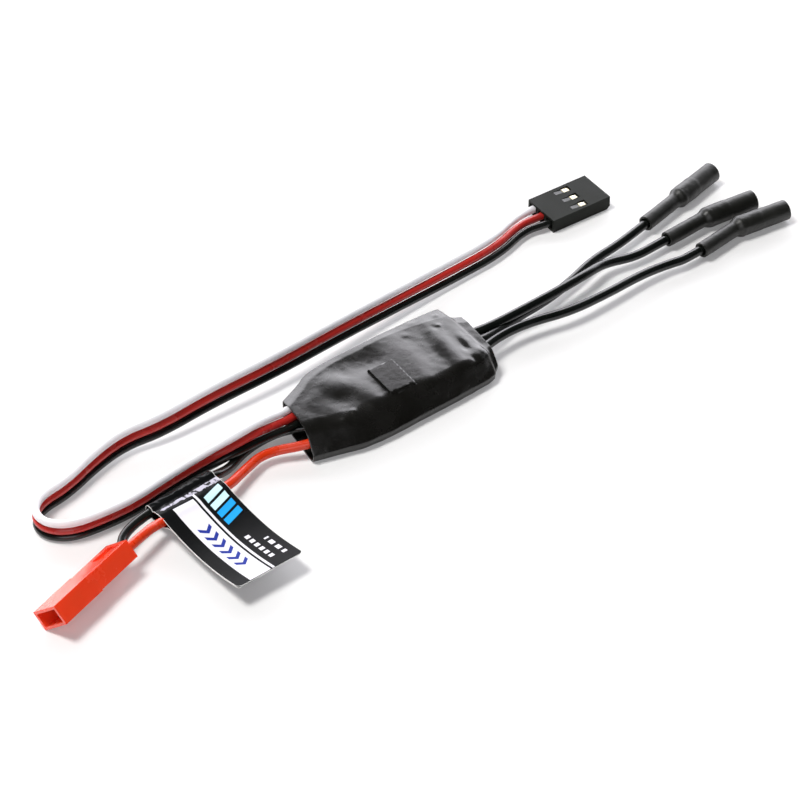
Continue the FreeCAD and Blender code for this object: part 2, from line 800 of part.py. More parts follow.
free_left = chip_x - size("chip_length") / 2 - lead_reach
keep(
    box(size("resonator_length"), size("resonator_width"), size("resonator_tall"),
        control_left + (free_left - control_left) / 2, chip_y, control_top),
    "resonator",
)

# Signal plug: X runs from the wire end to the mouth in its own frame

servo_place = FreeCAD.Placement(
    Vector(size("servo_plug_x").value, size("servo_plug_y").value, 0),
    Rotation(Z_AXIS, size("servo_plug_turn").value),
)
servo_length = size("servo_plug_length")
servo_tall = size("servo_plug_tall")
half_plug = size("servo_plug_width") / 2
half_cavity = size("servo_cavity") / 2
half_hole = size("pin_hole") / 2
half_window = size("window_width") / 2
half_tongue = size("tongue_width") / 2
first_y = -size("contact_pitch")
window_front = servo_length - size("window_inset")
window_back = window_front - size("window_length")
tongue_back = window_back - size("tongue_length")
servo_middle = servo_tall / 2

servo_housing = new_body("servo_plug_housing")
outline = new_sketch(servo_housing, "XY_Plane")
rectangle(outline, 0, servo_length, -half_plug, half_plug)
pad(servo_housing, outline, servo_tall)
cavity = new_sketch(servo_housing, "YZ_Plane")
rectangle(cavity, first_y - half_cavity, first_y + half_cavity,
          servo_middle - half_cavity, servo_middle + half_cavity)
cavity_cut = pocket(servo_housing, cavity, servo_length - size("servo_mouth_wall"), reverse=True)
hole = new_sketch(servo_housing, "YZ_Plane")
rectangle(hole, first_y - half_hole, first_y + half_hole,
          servo_middle - half_hole, servo_middle + half_hole)
hole_cut = pocket(servo_housing, hole, servo_length, reverse=True)
window = new_sketch(servo_housing, "XY_Plane", servo_tall)
rectangle(window, window_back, window_front, first_y - half_window, first_y + half_window)
window_cut = pocket(servo_housing, window, servo_middle)
tongue = new_sketch(servo_housing, "XY_Plane", servo_tall)
rectangle(tongue, tongue_back, window_back, first_y - half_tongue, first_y + half_tongue)
tongue_cut = pocket(servo_housing, tongue, size("tongue_sink"))
servo_row = row_of(servo_housing, [cavity_cut, hole_cut, window_cut, tongue_cut], 3,
                   size("contact_pitch") * 2)
bevel_edges = [
    f"Edge{index}"
    for index, edge in enumerate(servo_row.Shape.Edges, start=1)
    if edge.BoundBox.ZMax < 0.001 and edge.BoundBox.XMin > servo_length.value - 0.001
]
bevel = servo_housing.newObject("PartDesign::Chamfer", "MouthBevel")
bevel.Base = (servo_row, bevel_edges)
bind(bevel, Size=size("plug_bevel"))
servo_housing.Tip = bevel
servo_housing.Placement = servo_place

socket_front = servo_length - size("servo_mouth_wall") - size("contact_play")
socket_back = socket_front - size("socket_length")
for step, circuit in enumerate(("ground", "positive", "signal"), start=-1):
    contact_y = size("contact_pitch") * step
    socket = box(size("contact_side"), size("contact_side"), size("socket_length"), 0, 0, 0)
    bore = box(size("contact_bore"), size("contact_bore"), size("socket_length"), 0, 0, 0)
    hollow = cut(socket, bore)
    hollow.Placement = FreeCAD.Placement(
        Vector(socket_back.value, contact_y.value, servo_middle.value), Rotation(Y_AXIS, 90)
    )
    barrel_start = Vector(size("wire_seat").value, contact_y.value, servo_middle.value)
    barrel_length = socket_back - size("wire_seat")
    barrel = rod(size("barrel_radius"), barrel_length,
                 FreeCAD.Placement(barrel_start, Rotation(Y_AXIS, 90)))
    contact = keep(fused([hollow, barrel]), f"servo_contact_{circuit}")
    contact.Placement = servo_place

# Battery plug: its own X runs from the wire end to the mouth, along the middle of the housing

power_half_width = size("power_plug_width") / 2
power_half_tall = size("power_plug_tall") / 2
power_plug_turned = Rotation(Z_AXIS, size("power_plug_turn").value)
power_plug_turned = power_plug_turned * Rotation(X_AXIS, size("power_plug_roll").value)
roll = math.radians(size("power_plug_roll").value)
lowest_corner = power_half_width.value * math.sin(roll) + power_half_tall.value * math.cos(roll)
power_place = FreeCAD.Placement(
    Vector(size("power_plug_x").value, size("power_plug_y").value, lowest_corner),
    power_plug_turned,
)
power_length = size("power_plug_length")
well_depth = power_length - size("shroud_depth") - size("plug_divider")
step_width = power_half_width - size("shroud_step")
step_tall = power_half_tall - size("shroud_step")
mouth_width = power_half_width - size("shroud_wall")
mouth_tall = power_half_tall - size("shroud_wall")

power_housing = new_body("battery_plug_housing")
outline = new_sketch(power_housing, "YZ_Plane")
rectangle(outline, -step_width, step_width, -step_tall, step_tall)
pad(power_housing, outline, power_length)
outline = new_sketch(power_housing, "YZ_Plane", power_length)
rectangle(outline, -power_half_width, power_half_width, -power_half_tall, power_half_tall)
pad(power_housing, outline, size("shroud_length"), reverse=True)
mouth = new_sketch(power_housing, "YZ_Plane", power_length)
rectangle(mouth, -mouth_width, mouth_width, -mouth_tall, mouth_tall)
pocket(power_housing, mouth, size("shroud_depth"))
well = new_sketch(power_housing, "YZ_Plane")
well_circle = Part.Circle(Vector(-size("pin_pitch").value / 2, 0, 0), Z_AXIS,
                          size("wire_well").value)
well.addGeometry(well_circle, False)
well.addConstraint(Sketcher.Constraint("PointOnObject", 0, 3, -1))
dimension(well, "across", "DistanceX", -1, 1, 0, 3, rule=-size("pin_pitch") / 2)
dimension(well, "radius", "Radius", 0, rule=size("wire_well"))
well_cut = pocket(power_housing, well, well_depth, reverse=True)
bore = new_sketch(power_housing, "YZ_Plane")
bore.addGeometry(Part.Circle(well_circle.Center, Z_AXIS, size("pin_radius").value), False)
bore.addConstraint(Sketcher.Constraint("PointOnObject", 0, 3, -1))
dimension(bore, "across", "DistanceX", -1, 1, 0, 3, rule=-size("pin_pitch") / 2)
dimension(bore, "radius", "Radius", 0, rule=size("pin_radius"))
bore_cut = pocket(power_housing, bore, power_length, reverse=True)
row_of(power_housing, [well_cut, bore_cut], 2, size("pin_pitch"))
catch = new_sketch(power_housing, "XY_Plane", step_tall)
rectangle(catch, size("catch_inset"), size("catch_inset") + size("catch_length"),
          -size("catch_width") / 2, size("catch_width") / 2)
pocket(power_housing, catch, size("catch_sink"))
power_housing.Placement = power_place

pin_front = power_length - size("shroud_depth") + size("pin_length")
for side, circuit in ((-1, "negative"), (1, "positive")):
    pin_y = size("pin_pitch") * side / 2
    crimp_start = Vector(size("wire_seat").value, pin_y.value, 0)
    crimp_length = well_depth - size("wire_seat")
    crimp = rod(size("crimp_radius"), crimp_length,
                FreeCAD.Placement(crimp_start, Rotation(Y_AXIS, 90)))
    pin_start = Vector(well_depth.value, pin_y.value, 0)
    pin = rod(size("pin_radius"), pin_front - well_depth,
              FreeCAD.Placement(pin_start, Rotation(Y_AXIS, 90)))
    contact = keep(fused([crimp, pin]), f"battery_pin_{circuit}")
    contact.Placement = power_place

# Bullet sockets of the motor leads, each in its shrunk sleeve

bullet_radius = size("bullet_diameter") / 2
bullet_length = size("sleeve_wide") - size("sleeve_recess")
wide_bore = bullet_radius + size("sleeve_play")
wide_radius = wide_bore + size("sleeve_wall")
narrow_bore = size("power_wire") / 2 + size("sleeve_play")
narrow_radius = narrow_bore + size("sleeve_shrunk")
overrun = size("sleeve_neck") / 4


def lying(x, y, degrees):
    """A placement whose Z axis lies level and points this way from X, at the sleeves' height."""
    turned = Rotation(Z_AXIS, degrees) * Rotation(Y_AXIS, 90)
    return FreeCAD.Placement(Vector(x, y, wide_radius.value), turned)


def along(place, distance):
    """The placement moved along its own Z axis."""
    return place.multiply(FreeCAD.Placement(Vector(0, 0, distance.value), Rotation()))


def sleeve_form(neck, wire_way, narrow, wide):
    """The solid form of a sleeve's inside or outside."""
    shaft = along(wire_way, -size("sleeve_narrow"))
    return fused(
        [
            rod(narrow, size("sleeve_narrow") + overrun, shaft),
            cone(narrow, wide, size("sleeve_neck"), neck),
            rod(wide, size("sleeve_wide"), along(neck, size("sleeve_neck"))),
        ]
    )


def bullet_socket(label, place):
    """A turned socket with its bore at the far end."""
    body = new_body(label)
    profile = new_sketch(body, "XZ_Plane")
    bore = size("bullet_bore") / 2
    chamfer = size("bullet_chamfer")
    floor = bullet_length - size("bullet_depth")
    polygon(
        profile,
        [
            (0, 0),
            (floor, 0),
            (floor, bore),
            (bullet_length - chamfer, bore),
            (bullet_length, bore + chamfer),
            (bullet_length, bullet_radius),
            (0, bullet_radius),
        ],
    )
    turned = body.newObject("PartDesign::Revolution", "Turned")
    turned.Profile = profile
    turned.ReferenceAxis = (profile, ["H_Axis"])
    turned.Angle = 360
    body.Placement = place
    return body


for letter, neck_x, neck_y, wire_degrees, socket_degrees in BULLETS:
    neck = lying(neck_x, neck_y, socket_degrees)
    wire_way = lying(neck_x, neck_y, wire_degrees)
    outside = sleeve_form(neck, wire_way, narrow_radius, wide_radius)
    inside = sleeve_form(neck, wire_way, narrow_bore, wide_bore)
    keep(cut(outside, inside), f"bullet_sleeve_{letter}")
    seat = along(neck, size("sleeve_neck"))
    seat_place = FreeCAD.Placement(seat.Base, Rotation(Z_AXIS, socket_degrees))
    bullet_socket(f"bullet_socket_{letter}", seat_place)

# Leads, from their solder joints to their plugs and sockets

ribbon_pitch = (size("servo_wire") + size("servo_web")).value
ribbon_level = (power_top + size("servo_wire") / 2 + size("wire_lift")).value
lead_level = (power_top + size("power_wire") / 2 + size("wire_lift")).value
battery_end = (board_left + size("battery_joint_inset") - size("strand_bare")).value
motor_end = (board_right - size("motor_joint_inset") + size("strand_bare")).value
wire_seat = size("wire_seat").value


def into_plug(place, run, across, up):
    """The last two points of a wire that enters a plug."""
    outside = place.multVec(Vector(-run, across, up))
    inside = place.multVec(Vector(wire_seat, across, up))
    return [tuple(outside), tuple(inside)]


def ribbon_wire(side):
    """The route of one wire of the ribbon: -1 ground, 0 positive, 1 signal."""
    shift = side * ribbon_pitch
    ends = into_plug(servo_place, size("fan_run").value, side * size("contact_pitch").value,
                     servo_middle.value)
    corners = [Vector(battery_end, RIBBON_START, ribbon_level)]
    corners += [Vector(*point[:3]) for point in RIBBON_ROUTE]
    rolls = [0] + [point[3] for point in RIBBON_ROUTE]
    plug_entry = servo_place.Base + Z_AXIS * servo_middle.value
    route = []
    for here, roll_degrees, before, after in zip(
        corners, rolls, corners[:1] + corners, corners[1:] + [plug_entry]
    ):
        ahead = (after - before).normalize()
        right = ahead.cross(Z_AXIS).normalize()
        turn = math.radians(roll_degrees)
        across = right * math.cos(turn) + right.cross(ahead) * math.sin(turn)
        route.append(tuple(here + across * shift))
    return route + ends


def battery_wire(start, route, run, across):
    """The route of a battery lead from its joint into the plug."""
    ends = into_plug(power_place, run.value, across.value, 0)
    return [(battery_end, start, lead_level), *route, *ends]


def motor_wire(start, route, bullet):
    """The route of a motor lead from its joint to its socket."""
    _, neck_x, neck_y, wire_degrees, _ = bullet
    way = lying(neck_x, neck_y, wire_degrees)
    behind = along(way, -size("sleeve_narrow") - size("sleeve_run"))
    socket = along(way, size("sleeve_neck"))
    return [(motor_end, start, lead_level), *route, tuple(behind.Base), tuple(socket.Base)]


def solder_joint(route, foot, crown, strand):
    """A joint on the power board, with the bare strands that lie in it."""
    start = Vector(*route[0])
    ahead = Vector(*route[1]) - start
    back = Vector(-ahead.x, -ahead.y, 0).normalize()
    middle = start + back * size("strand_bare").value
    foot_place = FreeCAD.Placement(Vector(middle.x, middle.y, power_top.value), Rotation())
    turned = Rotation(Z_AXIS, back)
    return fused(
        [
            cone(foot, crown, size("joint_tall"), foot_place),
            rod(strand, size("strand_bare"), FreeCAD.Placement(start, turned)),
        ]
    )


servo_routes = {
    "servo_wire_signal": ribbon_wire(1),
    "servo_wire_positive": ribbon_wire(0),
    "servo_wire_ground": ribbon_wire(-1),
}
half_pins = size("pin_pitch") / 2
power_routes = {
    "power_wire_positive": battery_wire(POSITIVE_START, POSITIVE_ROUTE, size("positive_run"),
                                        half_pins),
    "power_wire_negative": battery_wire(NEGATIVE_START, NEGATIVE_ROUTE, size("negative_run"),
                                        -half_pins),
}
motor_routes = {
    f"motor_wire_{letter}": motor_wire(start, route, bullet)
    for (letter, start, route), bullet in zip(MOTOR_ROUTES, BULLETS)
}
for name, route in servo_routes.items():
    wire_tube(name, route, size("servo_wire").value)
for name, route in {**power_routes, **motor_routes}.items():
    wire_tube(name, route, size("power_wire").value)

signal_sizes = (size("signal_foot"), size("signal_crown"), size("signal_strand"))
power_sizes = (size("joint_foot"), size("joint_crown"), size("power_strand"))
group([solder_joint(route, *signal_sizes) for route in servo_routes.values()],
      "signal_solder_joints")
group([solder_joint(route, *power_sizes) for route in power_routes.values()],
      "battery_solder_joints")
group([solder_joint(route, *power_sizes) for route in motor_routes.values()],
      "motor_solder_joints")

# Label: a sticker looped around the two battery leads and stuck to itself as a flag


def on_run(run, x):
    """The point of a straight run at this X."""
    start, end = (Vector(*point) for point in run)
    return start + (end - start) * ((x - start.x) / (end.x - start.x))


def loop_outline(x, radius):
    """The loop's outline at this X: two half circles around the leads, and what joins them."""
    near = on_run(LABEL_NEAR_RUN, x)
    far = on_run(LABEL_FAR_RUN, x)
    up = Vector(0, 0, radius)
    side = Vector(0, radius, 0)
    edges = [
        Part.LineSegment(near + up, far + up).toShape(),
        Part.Arc(far + up, far + side, far - up).toShape(),
        Part.LineSegment(far - up, near - up).toShape(),
        Part.Arc(near - up, near - side, near + up).toShape(),
    ]
    return Part.Wire(edges)


def label_solid():
    """The loop around the leads and the two-ply flag."""
    ply = size("label_ply").value
    inner = size("power_wire").value / 2 + size("label_slack").value
    start_x = size("label_x").value
    end_x = start_x + size("label_length").value
    outside = Part.makeLoft([loop_outline(x, inner + ply) for x in (start_x, end_x)], True, True)
    inside = Part.makeLoft([loop_outline(x, inner) for x in (start_x, end_x)], True, True)
    root = on_run(LABEL_NEAR_RUN, start_x)
    root_y = root.y - inner
    tip_y = -size("label_tip").value
    drop, lift = size("label_sag").value, size("label_lift").value
    heights = (root.z, root.z - drop, root.z - drop, root.z + lift)
    span = (tip_y - root_y) / (len(heights) - 1)
    curve = [(root_y + span * step, height) for step, height in enumerate(heights)]

    def edge(lift):
        spline = Part.BSplineCurve()
        spline.interpolate([Vector(start_x, y, z + lift) for y, z in curve])
        return spline.toShape()

    upper = edge(ply)
    lower = edge(-ply)
    sides = [
        Part.LineSegment(upper.Vertexes[0].Point, lower.Vertexes[0].Point).toShape(),
        Part.LineSegment(upper.Vertexes[-1].Point, lower.Vertexes[-1].Point).toShape(),
    ]
    flag_outline = Part.Wire(Part.__sortEdges__([upper, lower, *sides]))
    flag = Part.Face(flag_outline).extrude(Vector(end_x - start_x, 0, 0))
    return outside.fuse(flag).cut(inside)


label = doc.addObject("Part::Feature", "Label")
label.Shape = label_solid()
keep(label, "label_flag")

# Check every object and write the nodes

doc.recompute()
for item in doc.Objects:
    if "Invalid" in item.State or "Error" in item.State:
        raise RuntimeError(f"{item.Label} failed: {item.State}")
for node in nodes:
    if node.Shape.isNull() or not node.Shape.isValid():
        raise RuntimeError(f"{node.Label} has no valid shape")
os.makedirs("parts", exist_ok=True)
for node in nodes:
    node.Shape.exportStep(f"parts/{node.Label}.step")
    print(f"{node.Label}: {len(node.Shape.Solids)} solids, {node.Shape.Volume:.1f} mm3")
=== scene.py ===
"""Visual model of a small brushless motor speed controller with its leads and plugs."""
import logging
import math
from dataclasses import dataclass, field
from enum import Enum
from typing import Optional, Sequence

import bmesh
import bpy
from mathutils import Matrix, Vector, noise


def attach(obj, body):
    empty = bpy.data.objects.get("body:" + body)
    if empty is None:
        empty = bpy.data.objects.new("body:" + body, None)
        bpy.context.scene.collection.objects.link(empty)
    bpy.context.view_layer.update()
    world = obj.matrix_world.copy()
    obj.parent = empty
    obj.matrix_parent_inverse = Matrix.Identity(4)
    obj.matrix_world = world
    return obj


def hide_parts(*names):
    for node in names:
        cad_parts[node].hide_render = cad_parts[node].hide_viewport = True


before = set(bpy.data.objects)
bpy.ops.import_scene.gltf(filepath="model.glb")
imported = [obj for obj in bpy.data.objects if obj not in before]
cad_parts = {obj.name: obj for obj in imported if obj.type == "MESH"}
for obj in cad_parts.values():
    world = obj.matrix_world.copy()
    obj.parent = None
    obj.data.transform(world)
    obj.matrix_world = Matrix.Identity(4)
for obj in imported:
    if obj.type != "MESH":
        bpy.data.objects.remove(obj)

LOG = logging.getLogger("speed_controller")
MM = 0.001
PRINT_UNIT = 100.0
BODY = "root"
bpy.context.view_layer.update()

Point = tuple[float, float, float]
Colour = tuple[float, float, float]


# Node trees of the materials


class NodeBuilder:
    """Short ways to add and join the nodes of a tree."""

    def __init__(self, tree: bpy.types.NodeTree) -> None:
        """Take a tree.

        Args:
            tree: The tree that takes the nodes.
        """
        self.tree = tree

    def add(self, kind: str, **settings: object) -> bpy.types.Node:
        """Add a node.

        Args:
            kind: The node's type.
            **settings: Properties to set on it.

        Returns:
            The new node.
        """
        node = self.tree.nodes.new(kind)
        for key, value in settings.items():
            setattr(node, key, value)
        return node

    def put(self, value: object, socket: bpy.types.NodeSocket) -> None:
        """Link an output to a socket, or set a constant on it.

        Args:
            value: An output or a constant.
            socket: The input that takes it.
        """
        if isinstance(value, bpy.types.NodeSocket):
            self.tree.links.new(value, socket)
        else:
            socket.default_value = value

    def sum(self, kind: str, *values: object) -> bpy.types.NodeSocket:
        """Work a Math node of one kind over some values.

        Args:
            kind: The node's operation.
            *values: Outputs or constants, in order.

        Returns:
            The node's output.
        """
        node = self.add("ShaderNodeMath", operation=kind)
        for index, value in enumerate(values):
            self.put(value, node.inputs[index])
        return node.outputs[0]


@dataclass
class Shader(NodeBuilder):
    """A material under construction."""

    name: str
    material: bpy.types.Material = field(init=False)

    def __post_init__(self) -> None:
        """Start the material with one principled shader."""
        self.material = bpy.data.materials.new(self.name)
        self.material.use_nodes = True
        super().__init__(self.material.node_tree)
        self.surface = self.tree.nodes["Principled BSDF"]
        self.place = self.add("ShaderNodeTexCoord").outputs["Object"]

    def mapped(self, scale: Point) -> bpy.types.NodeSocket:
        """Object coordinates in metres, scaled.

        Args:
            scale: Factors along the three axes.

        Returns:
            The scaled coordinates.
        """
        node = self.add("ShaderNodeMapping")
        self.put(self.place, node.inputs["Vector"])
        node.inputs["Scale"].default_value = scale
        return node.outputs[0]

    def noise(self, size: float, detail: float = 3.0, vector: object = None,
              roughness: float = 0.5) -> bpy.types.NodeSocket:
        """Noise whose blobs are about this many metres across.

        Args:
            size: Metres across a blob, or the scale where coordinates are given.
            detail: How many finer layers it has.
            vector: Coordinates other than the object's own.
            roughness: How strong the finer layers are.

        Returns:
            The noise, from 0 to 1.
        """
        node = self.add("ShaderNodeTexNoise")
        self.put(self.place if vector is None else vector, node.inputs["Vector"])
        node.inputs["Scale"].default_value = 1.0 / size if vector is None else size
        node.inputs["Detail"].default_value = detail
        node.inputs["Roughness"].default_value = roughness
        return node.outputs["Fac"]

    def specks(self, size: float) -> bpy.types.NodeSocket:
        """Distance to the nearest of scattered points.

        Args:
            size: Metres from point to point.

        Returns:
            The distance.
        """
        node = self.add("ShaderNodeTexVoronoi")
        self.put(self.place, node.inputs["Vector"])
        node.inputs["Scale"].default_value = 1.0 / size
        return node.outputs["Distance"]

    def ramp(self, value: object, low: float, high: float, start: float = 0.0,
             end: float = 1.0) -> bpy.types.NodeSocket:
        """Map a range of a value to another range, held at both ends.

        Args:
            value: The value.
            low: Where the ramp starts.
            high: Where it ends.
            start: What it gives at low.
            end: What it gives at high.

        Returns:
            The mapped value.
        """
        node = self.add("ShaderNodeMapRange", clamp=True)
        self.put(value, node.inputs["Value"])
        for key, number in (("From Min", low), ("From Max", high), ("To Min", start), ("To Max", end)):
            node.inputs[key].default_value = number
        return node.outputs["Result"]

    def blend(self, factor: object, first: object, second: object) -> bpy.types.NodeSocket:
        """Mix two colours.

        Args:
            factor: Share of the second, from 0 to 1.
            first: A colour or an output.
            second: A colour or an output.

        Returns:
            The mixed colour.
        """
        node = self.add("ShaderNodeMix", data_type="RGBA")
        self.put(factor, node.inputs["Factor"])
        self.put(tint(first), node.inputs["A"])
        self.put(tint(second), node.inputs["B"])
        return node.outputs["Result"]

    def raise_by(self, height: object, distance: float, strength: float = 1.0,
                 under: Optional[bpy.types.NodeSocket] = None) -> bpy.types.NodeSocket:
        """A bump from a height field.

        Args:
            height: The height field, from 0 to 1.
            distance: Its height in metres.
            strength: Share of it that shows.
            under: The normal of another bump below this one.

        Returns:
            The bumped normal.
        """
        node = self.add("ShaderNodeBump")
        node.inputs["Strength"].default_value = strength
        node.inputs["Distance"].default_value = distance
        self.put(height, node.inputs["Height"])
        if under is not None:
            self.put(under, node.inputs["Normal"])
        return node.outputs["Normal"]

    def finish(self, colour: object, roughness: object, normal: object = None,
               **constants: object) -> bpy.types.Material:
        """Join the last sockets.

        Args:
            colour: Base colour, a value or an output.
            roughness: Roughness, a value or an output.
            normal: An output with the bumped normal.
            **constants: Constants by socket name, with an underscore for a blank.

        Returns:
            The finished material.
        """
        self.put(tint(colour), self.surface.inputs["Base Color"])
        self.put(roughness, self.surface.inputs["Roughness"])
        if normal is not None:
            self.put(normal, self.surface.inputs["Normal"])
        for key, value in constants.items():
            self.surface.inputs[key.replace("_", " ")].default_value = value
        return self.material


def tint(value: object) -> object:
    """Give a plain colour its alpha, and leave anything else as it is.

    Args:
        value: A colour or an output.

    Returns:
        The colour with its alpha, or the value itself.
    """
    if isinstance(value, tuple) and len(value) == 3:
        return (*value, 1.0)
    return value


# Finishes


@dataclass(frozen=True)
class Moulding:
    """Injection-moulded plastic with a faint skin texture."""

    name: str
    colour: Colour
    worn: Colour
    roughness: float
    grain: float = 0.00012
    depth: float = 0.00001
    subsurface: float = 0.0
    coat: float = 0.0
    specular: float = 0.5

    def material(self) -> bpy.types.Material:
        """Build the material.

        Returns:
            The finished material.
        """
        shader = Shader(self.name)
        cloud = shader.noise(0.004, 4.0)
        grain = shader.noise(self.grain, 2.0)
        colour = shader.blend(shader.ramp(cloud, 0.35, 0.75), self.colour, self.worn)
        rough = shader.ramp(cloud, 0.3, 0.7, self.roughness - 0.05, self.roughness + 0.06)
        normal = shader.raise_by(grain, self.depth, 0.6)
        more: dict[str, object] = {"Specular_IOR_Level": self.specular}
        if self.subsurface:
            more.update(Subsurface_Weight=self.subsurface, Subsurface_Scale=0.0012,
                        Subsurface_Radius=(1.0, 0.25, 0.12))
        if self.coat:
            more.update(Coat_Weight=self.coat, Coat_Roughness=0.12)
        return shader.finish(colour, rough, normal, **more)


@dataclass(frozen=True)
class CableSkin:
    """Extruded insulation: smooth, with dust and handling marks."""

    name: str
    colour: Colour
    worn: Colour
    roughness: float
    specular: float = 0.5

    def material(self) -> bpy.types.Material:
        """Build the material.

        Returns:
            The finished material.
        """
        shader = Shader(self.name)
        cloud = shader.noise(0.006, 3.0)
        fine = shader.noise(0.0005, 4.0)
        dust = shader.ramp(shader.noise(0.0030, 3.0), 0.55, 0.85)
        colour = shader.blend(shader.ramp(cloud, 0.35, 0.7), self.colour, self.worn)
        colour = shader.blend(shader.sum("MULTIPLY", dust, 0.1), colour, self.worn)
        rough = shader.ramp(cloud, 0.3, 0.7, self.roughness - 0.015, self.roughness + 0.025)
        normal = shader.raise_by(fine, 0.000001, 0.3)
        normal = shader.raise_by(cloud, 0.00004, 0.3, normal)
        return shader.finish(colour, rough, normal, Specular_IOR_Level=self.specular)


@dataclass(frozen=True)
class ShrinkFilm:
    """Shrunk polyolefin film, satin, with a fine orange peel and small scuffs."""

    name: str
    colour: Colour
    worn: Colour
    roughness: float
    ripple: float = 0.0011

    def material(self) -> bpy.types.Material:
        """Build the material.

        Returns:
            The finished material.
        """
        shader = Shader(self.name)
        cloud = shader.noise(0.005, 4.0)
        peel = shader.noise(self.ripple, 3.0, roughness=0.45)
        fine = shader.noise(0.00016, 2.0)
        dust = shader.ramp(shader.specks(0.0011), 0.05, 0.012)
        colour = shader.blend(shader.ramp(cloud, 0.3, 0.8), self.colour, self.worn)
        colour = shader.blend(shader.sum("MULTIPLY", dust, 0.35), colour, (0.12, 0.12, 0.12))
        rough = shader.ramp(cloud, 0.3, 0.75, self.roughness - 0.05, self.roughness + 0.07)
        normal = shader.raise_by(peel, 0.00006, 0.5)
        normal = shader.raise_by(fine, 0.000008, 0.5, normal)
        return shader.finish(colour, rough, normal, Specular_IOR_Level=0.5)


@dataclass(frozen=True)
class Metal:
    """Plated metal with fine turning or drawing marks."""

    name: str
    colour: Colour
    dull: Colour
    roughness: float
    grain: Point = (2500.0, 9000.0, 9000.0)

    def material(self) -> bpy.types.Material:
        """Build the material.

        Returns:
            The finished material.
        """
        shader = Shader(self.name)
        lines = shader.noise(1.0, 2.0, shader.mapped(self.grain))
        stain = shader.noise(0.0012, 4.0)
        colour = shader.blend(shader.ramp(stain, 0.45, 0.8), self.colour, self.dull)
        rough = shader.ramp(stain, 0.3, 0.8, self.roughness, self.roughness + 0.18)
        normal = shader.raise_by(lines, 0.000006, 0.5)
        return shader.finish(colour, rough, normal, Metallic=1.0)


@dataclass(frozen=True)
class SolderMask:
    """Circuit board laminate with copper tracks showing faintly under the mask."""

    name: str
    mask: Colour
    track: Colour

    def material(self) -> bpy.types.Material:
        """Build the material.

        Returns:
            The finished material.
        """
        shader = Shader(self.name)
        wave = shader.add("ShaderNodeTexWave", wave_type="BANDS", bands_direction="DIAGONAL")
        shader.put(shader.place, wave.inputs["Vector"])
        wave.inputs["Scale"].default_value = 260.0
        wave.inputs["Distortion"].default_value = 6.0
        tracks = shader.ramp(wave.outputs["Fac"], 0.55, 0.65)
        weave = shader.noise(0.0004, 2.0)
        colour = shader.blend(shader.sum("MULTIPLY", tracks, 0.7), self.mask, self.track)
        rough = shader.ramp(weave, 0.3, 0.7, 0.28, 0.4)
        normal = shader.raise_by(tracks, 0.00003, 0.7)
        return shader.finish(colour, rough, normal, Specular_IOR_Level=0.5)


@dataclass(frozen=True)
class FiredCeramic:
    """The faintly mottled body of a small fired part."""

    name: str
    body: Colour
    roughness: float

    def material(self) -> bpy.types.Material:
        """Build the material.

        Returns:
            The finished material.
        """
        shader = Shader(self.name)
        mottle = shader.noise(0.0003, 4.0)
        colour = shader.blend(shader.ramp(mottle, 0.3, 0.7), self.body,
                              tuple(0.7 * part for part in self.body))
        rough = shader.ramp(mottle, 0.3, 0.7, self.roughness - 0.06, self.roughness + 0.06)
        normal = shader.raise_by(mottle, 0.00002, 0.5)
        return shader.finish(colour, rough, normal)


@dataclass(frozen=True)
class BarRow:
    """A row of small bars down the print: its box, the step from bar to bar and a bar's ends."""

    left: float
    right: float
    top: float
    bottom: float
    step: float
    bar: tuple[float, float]


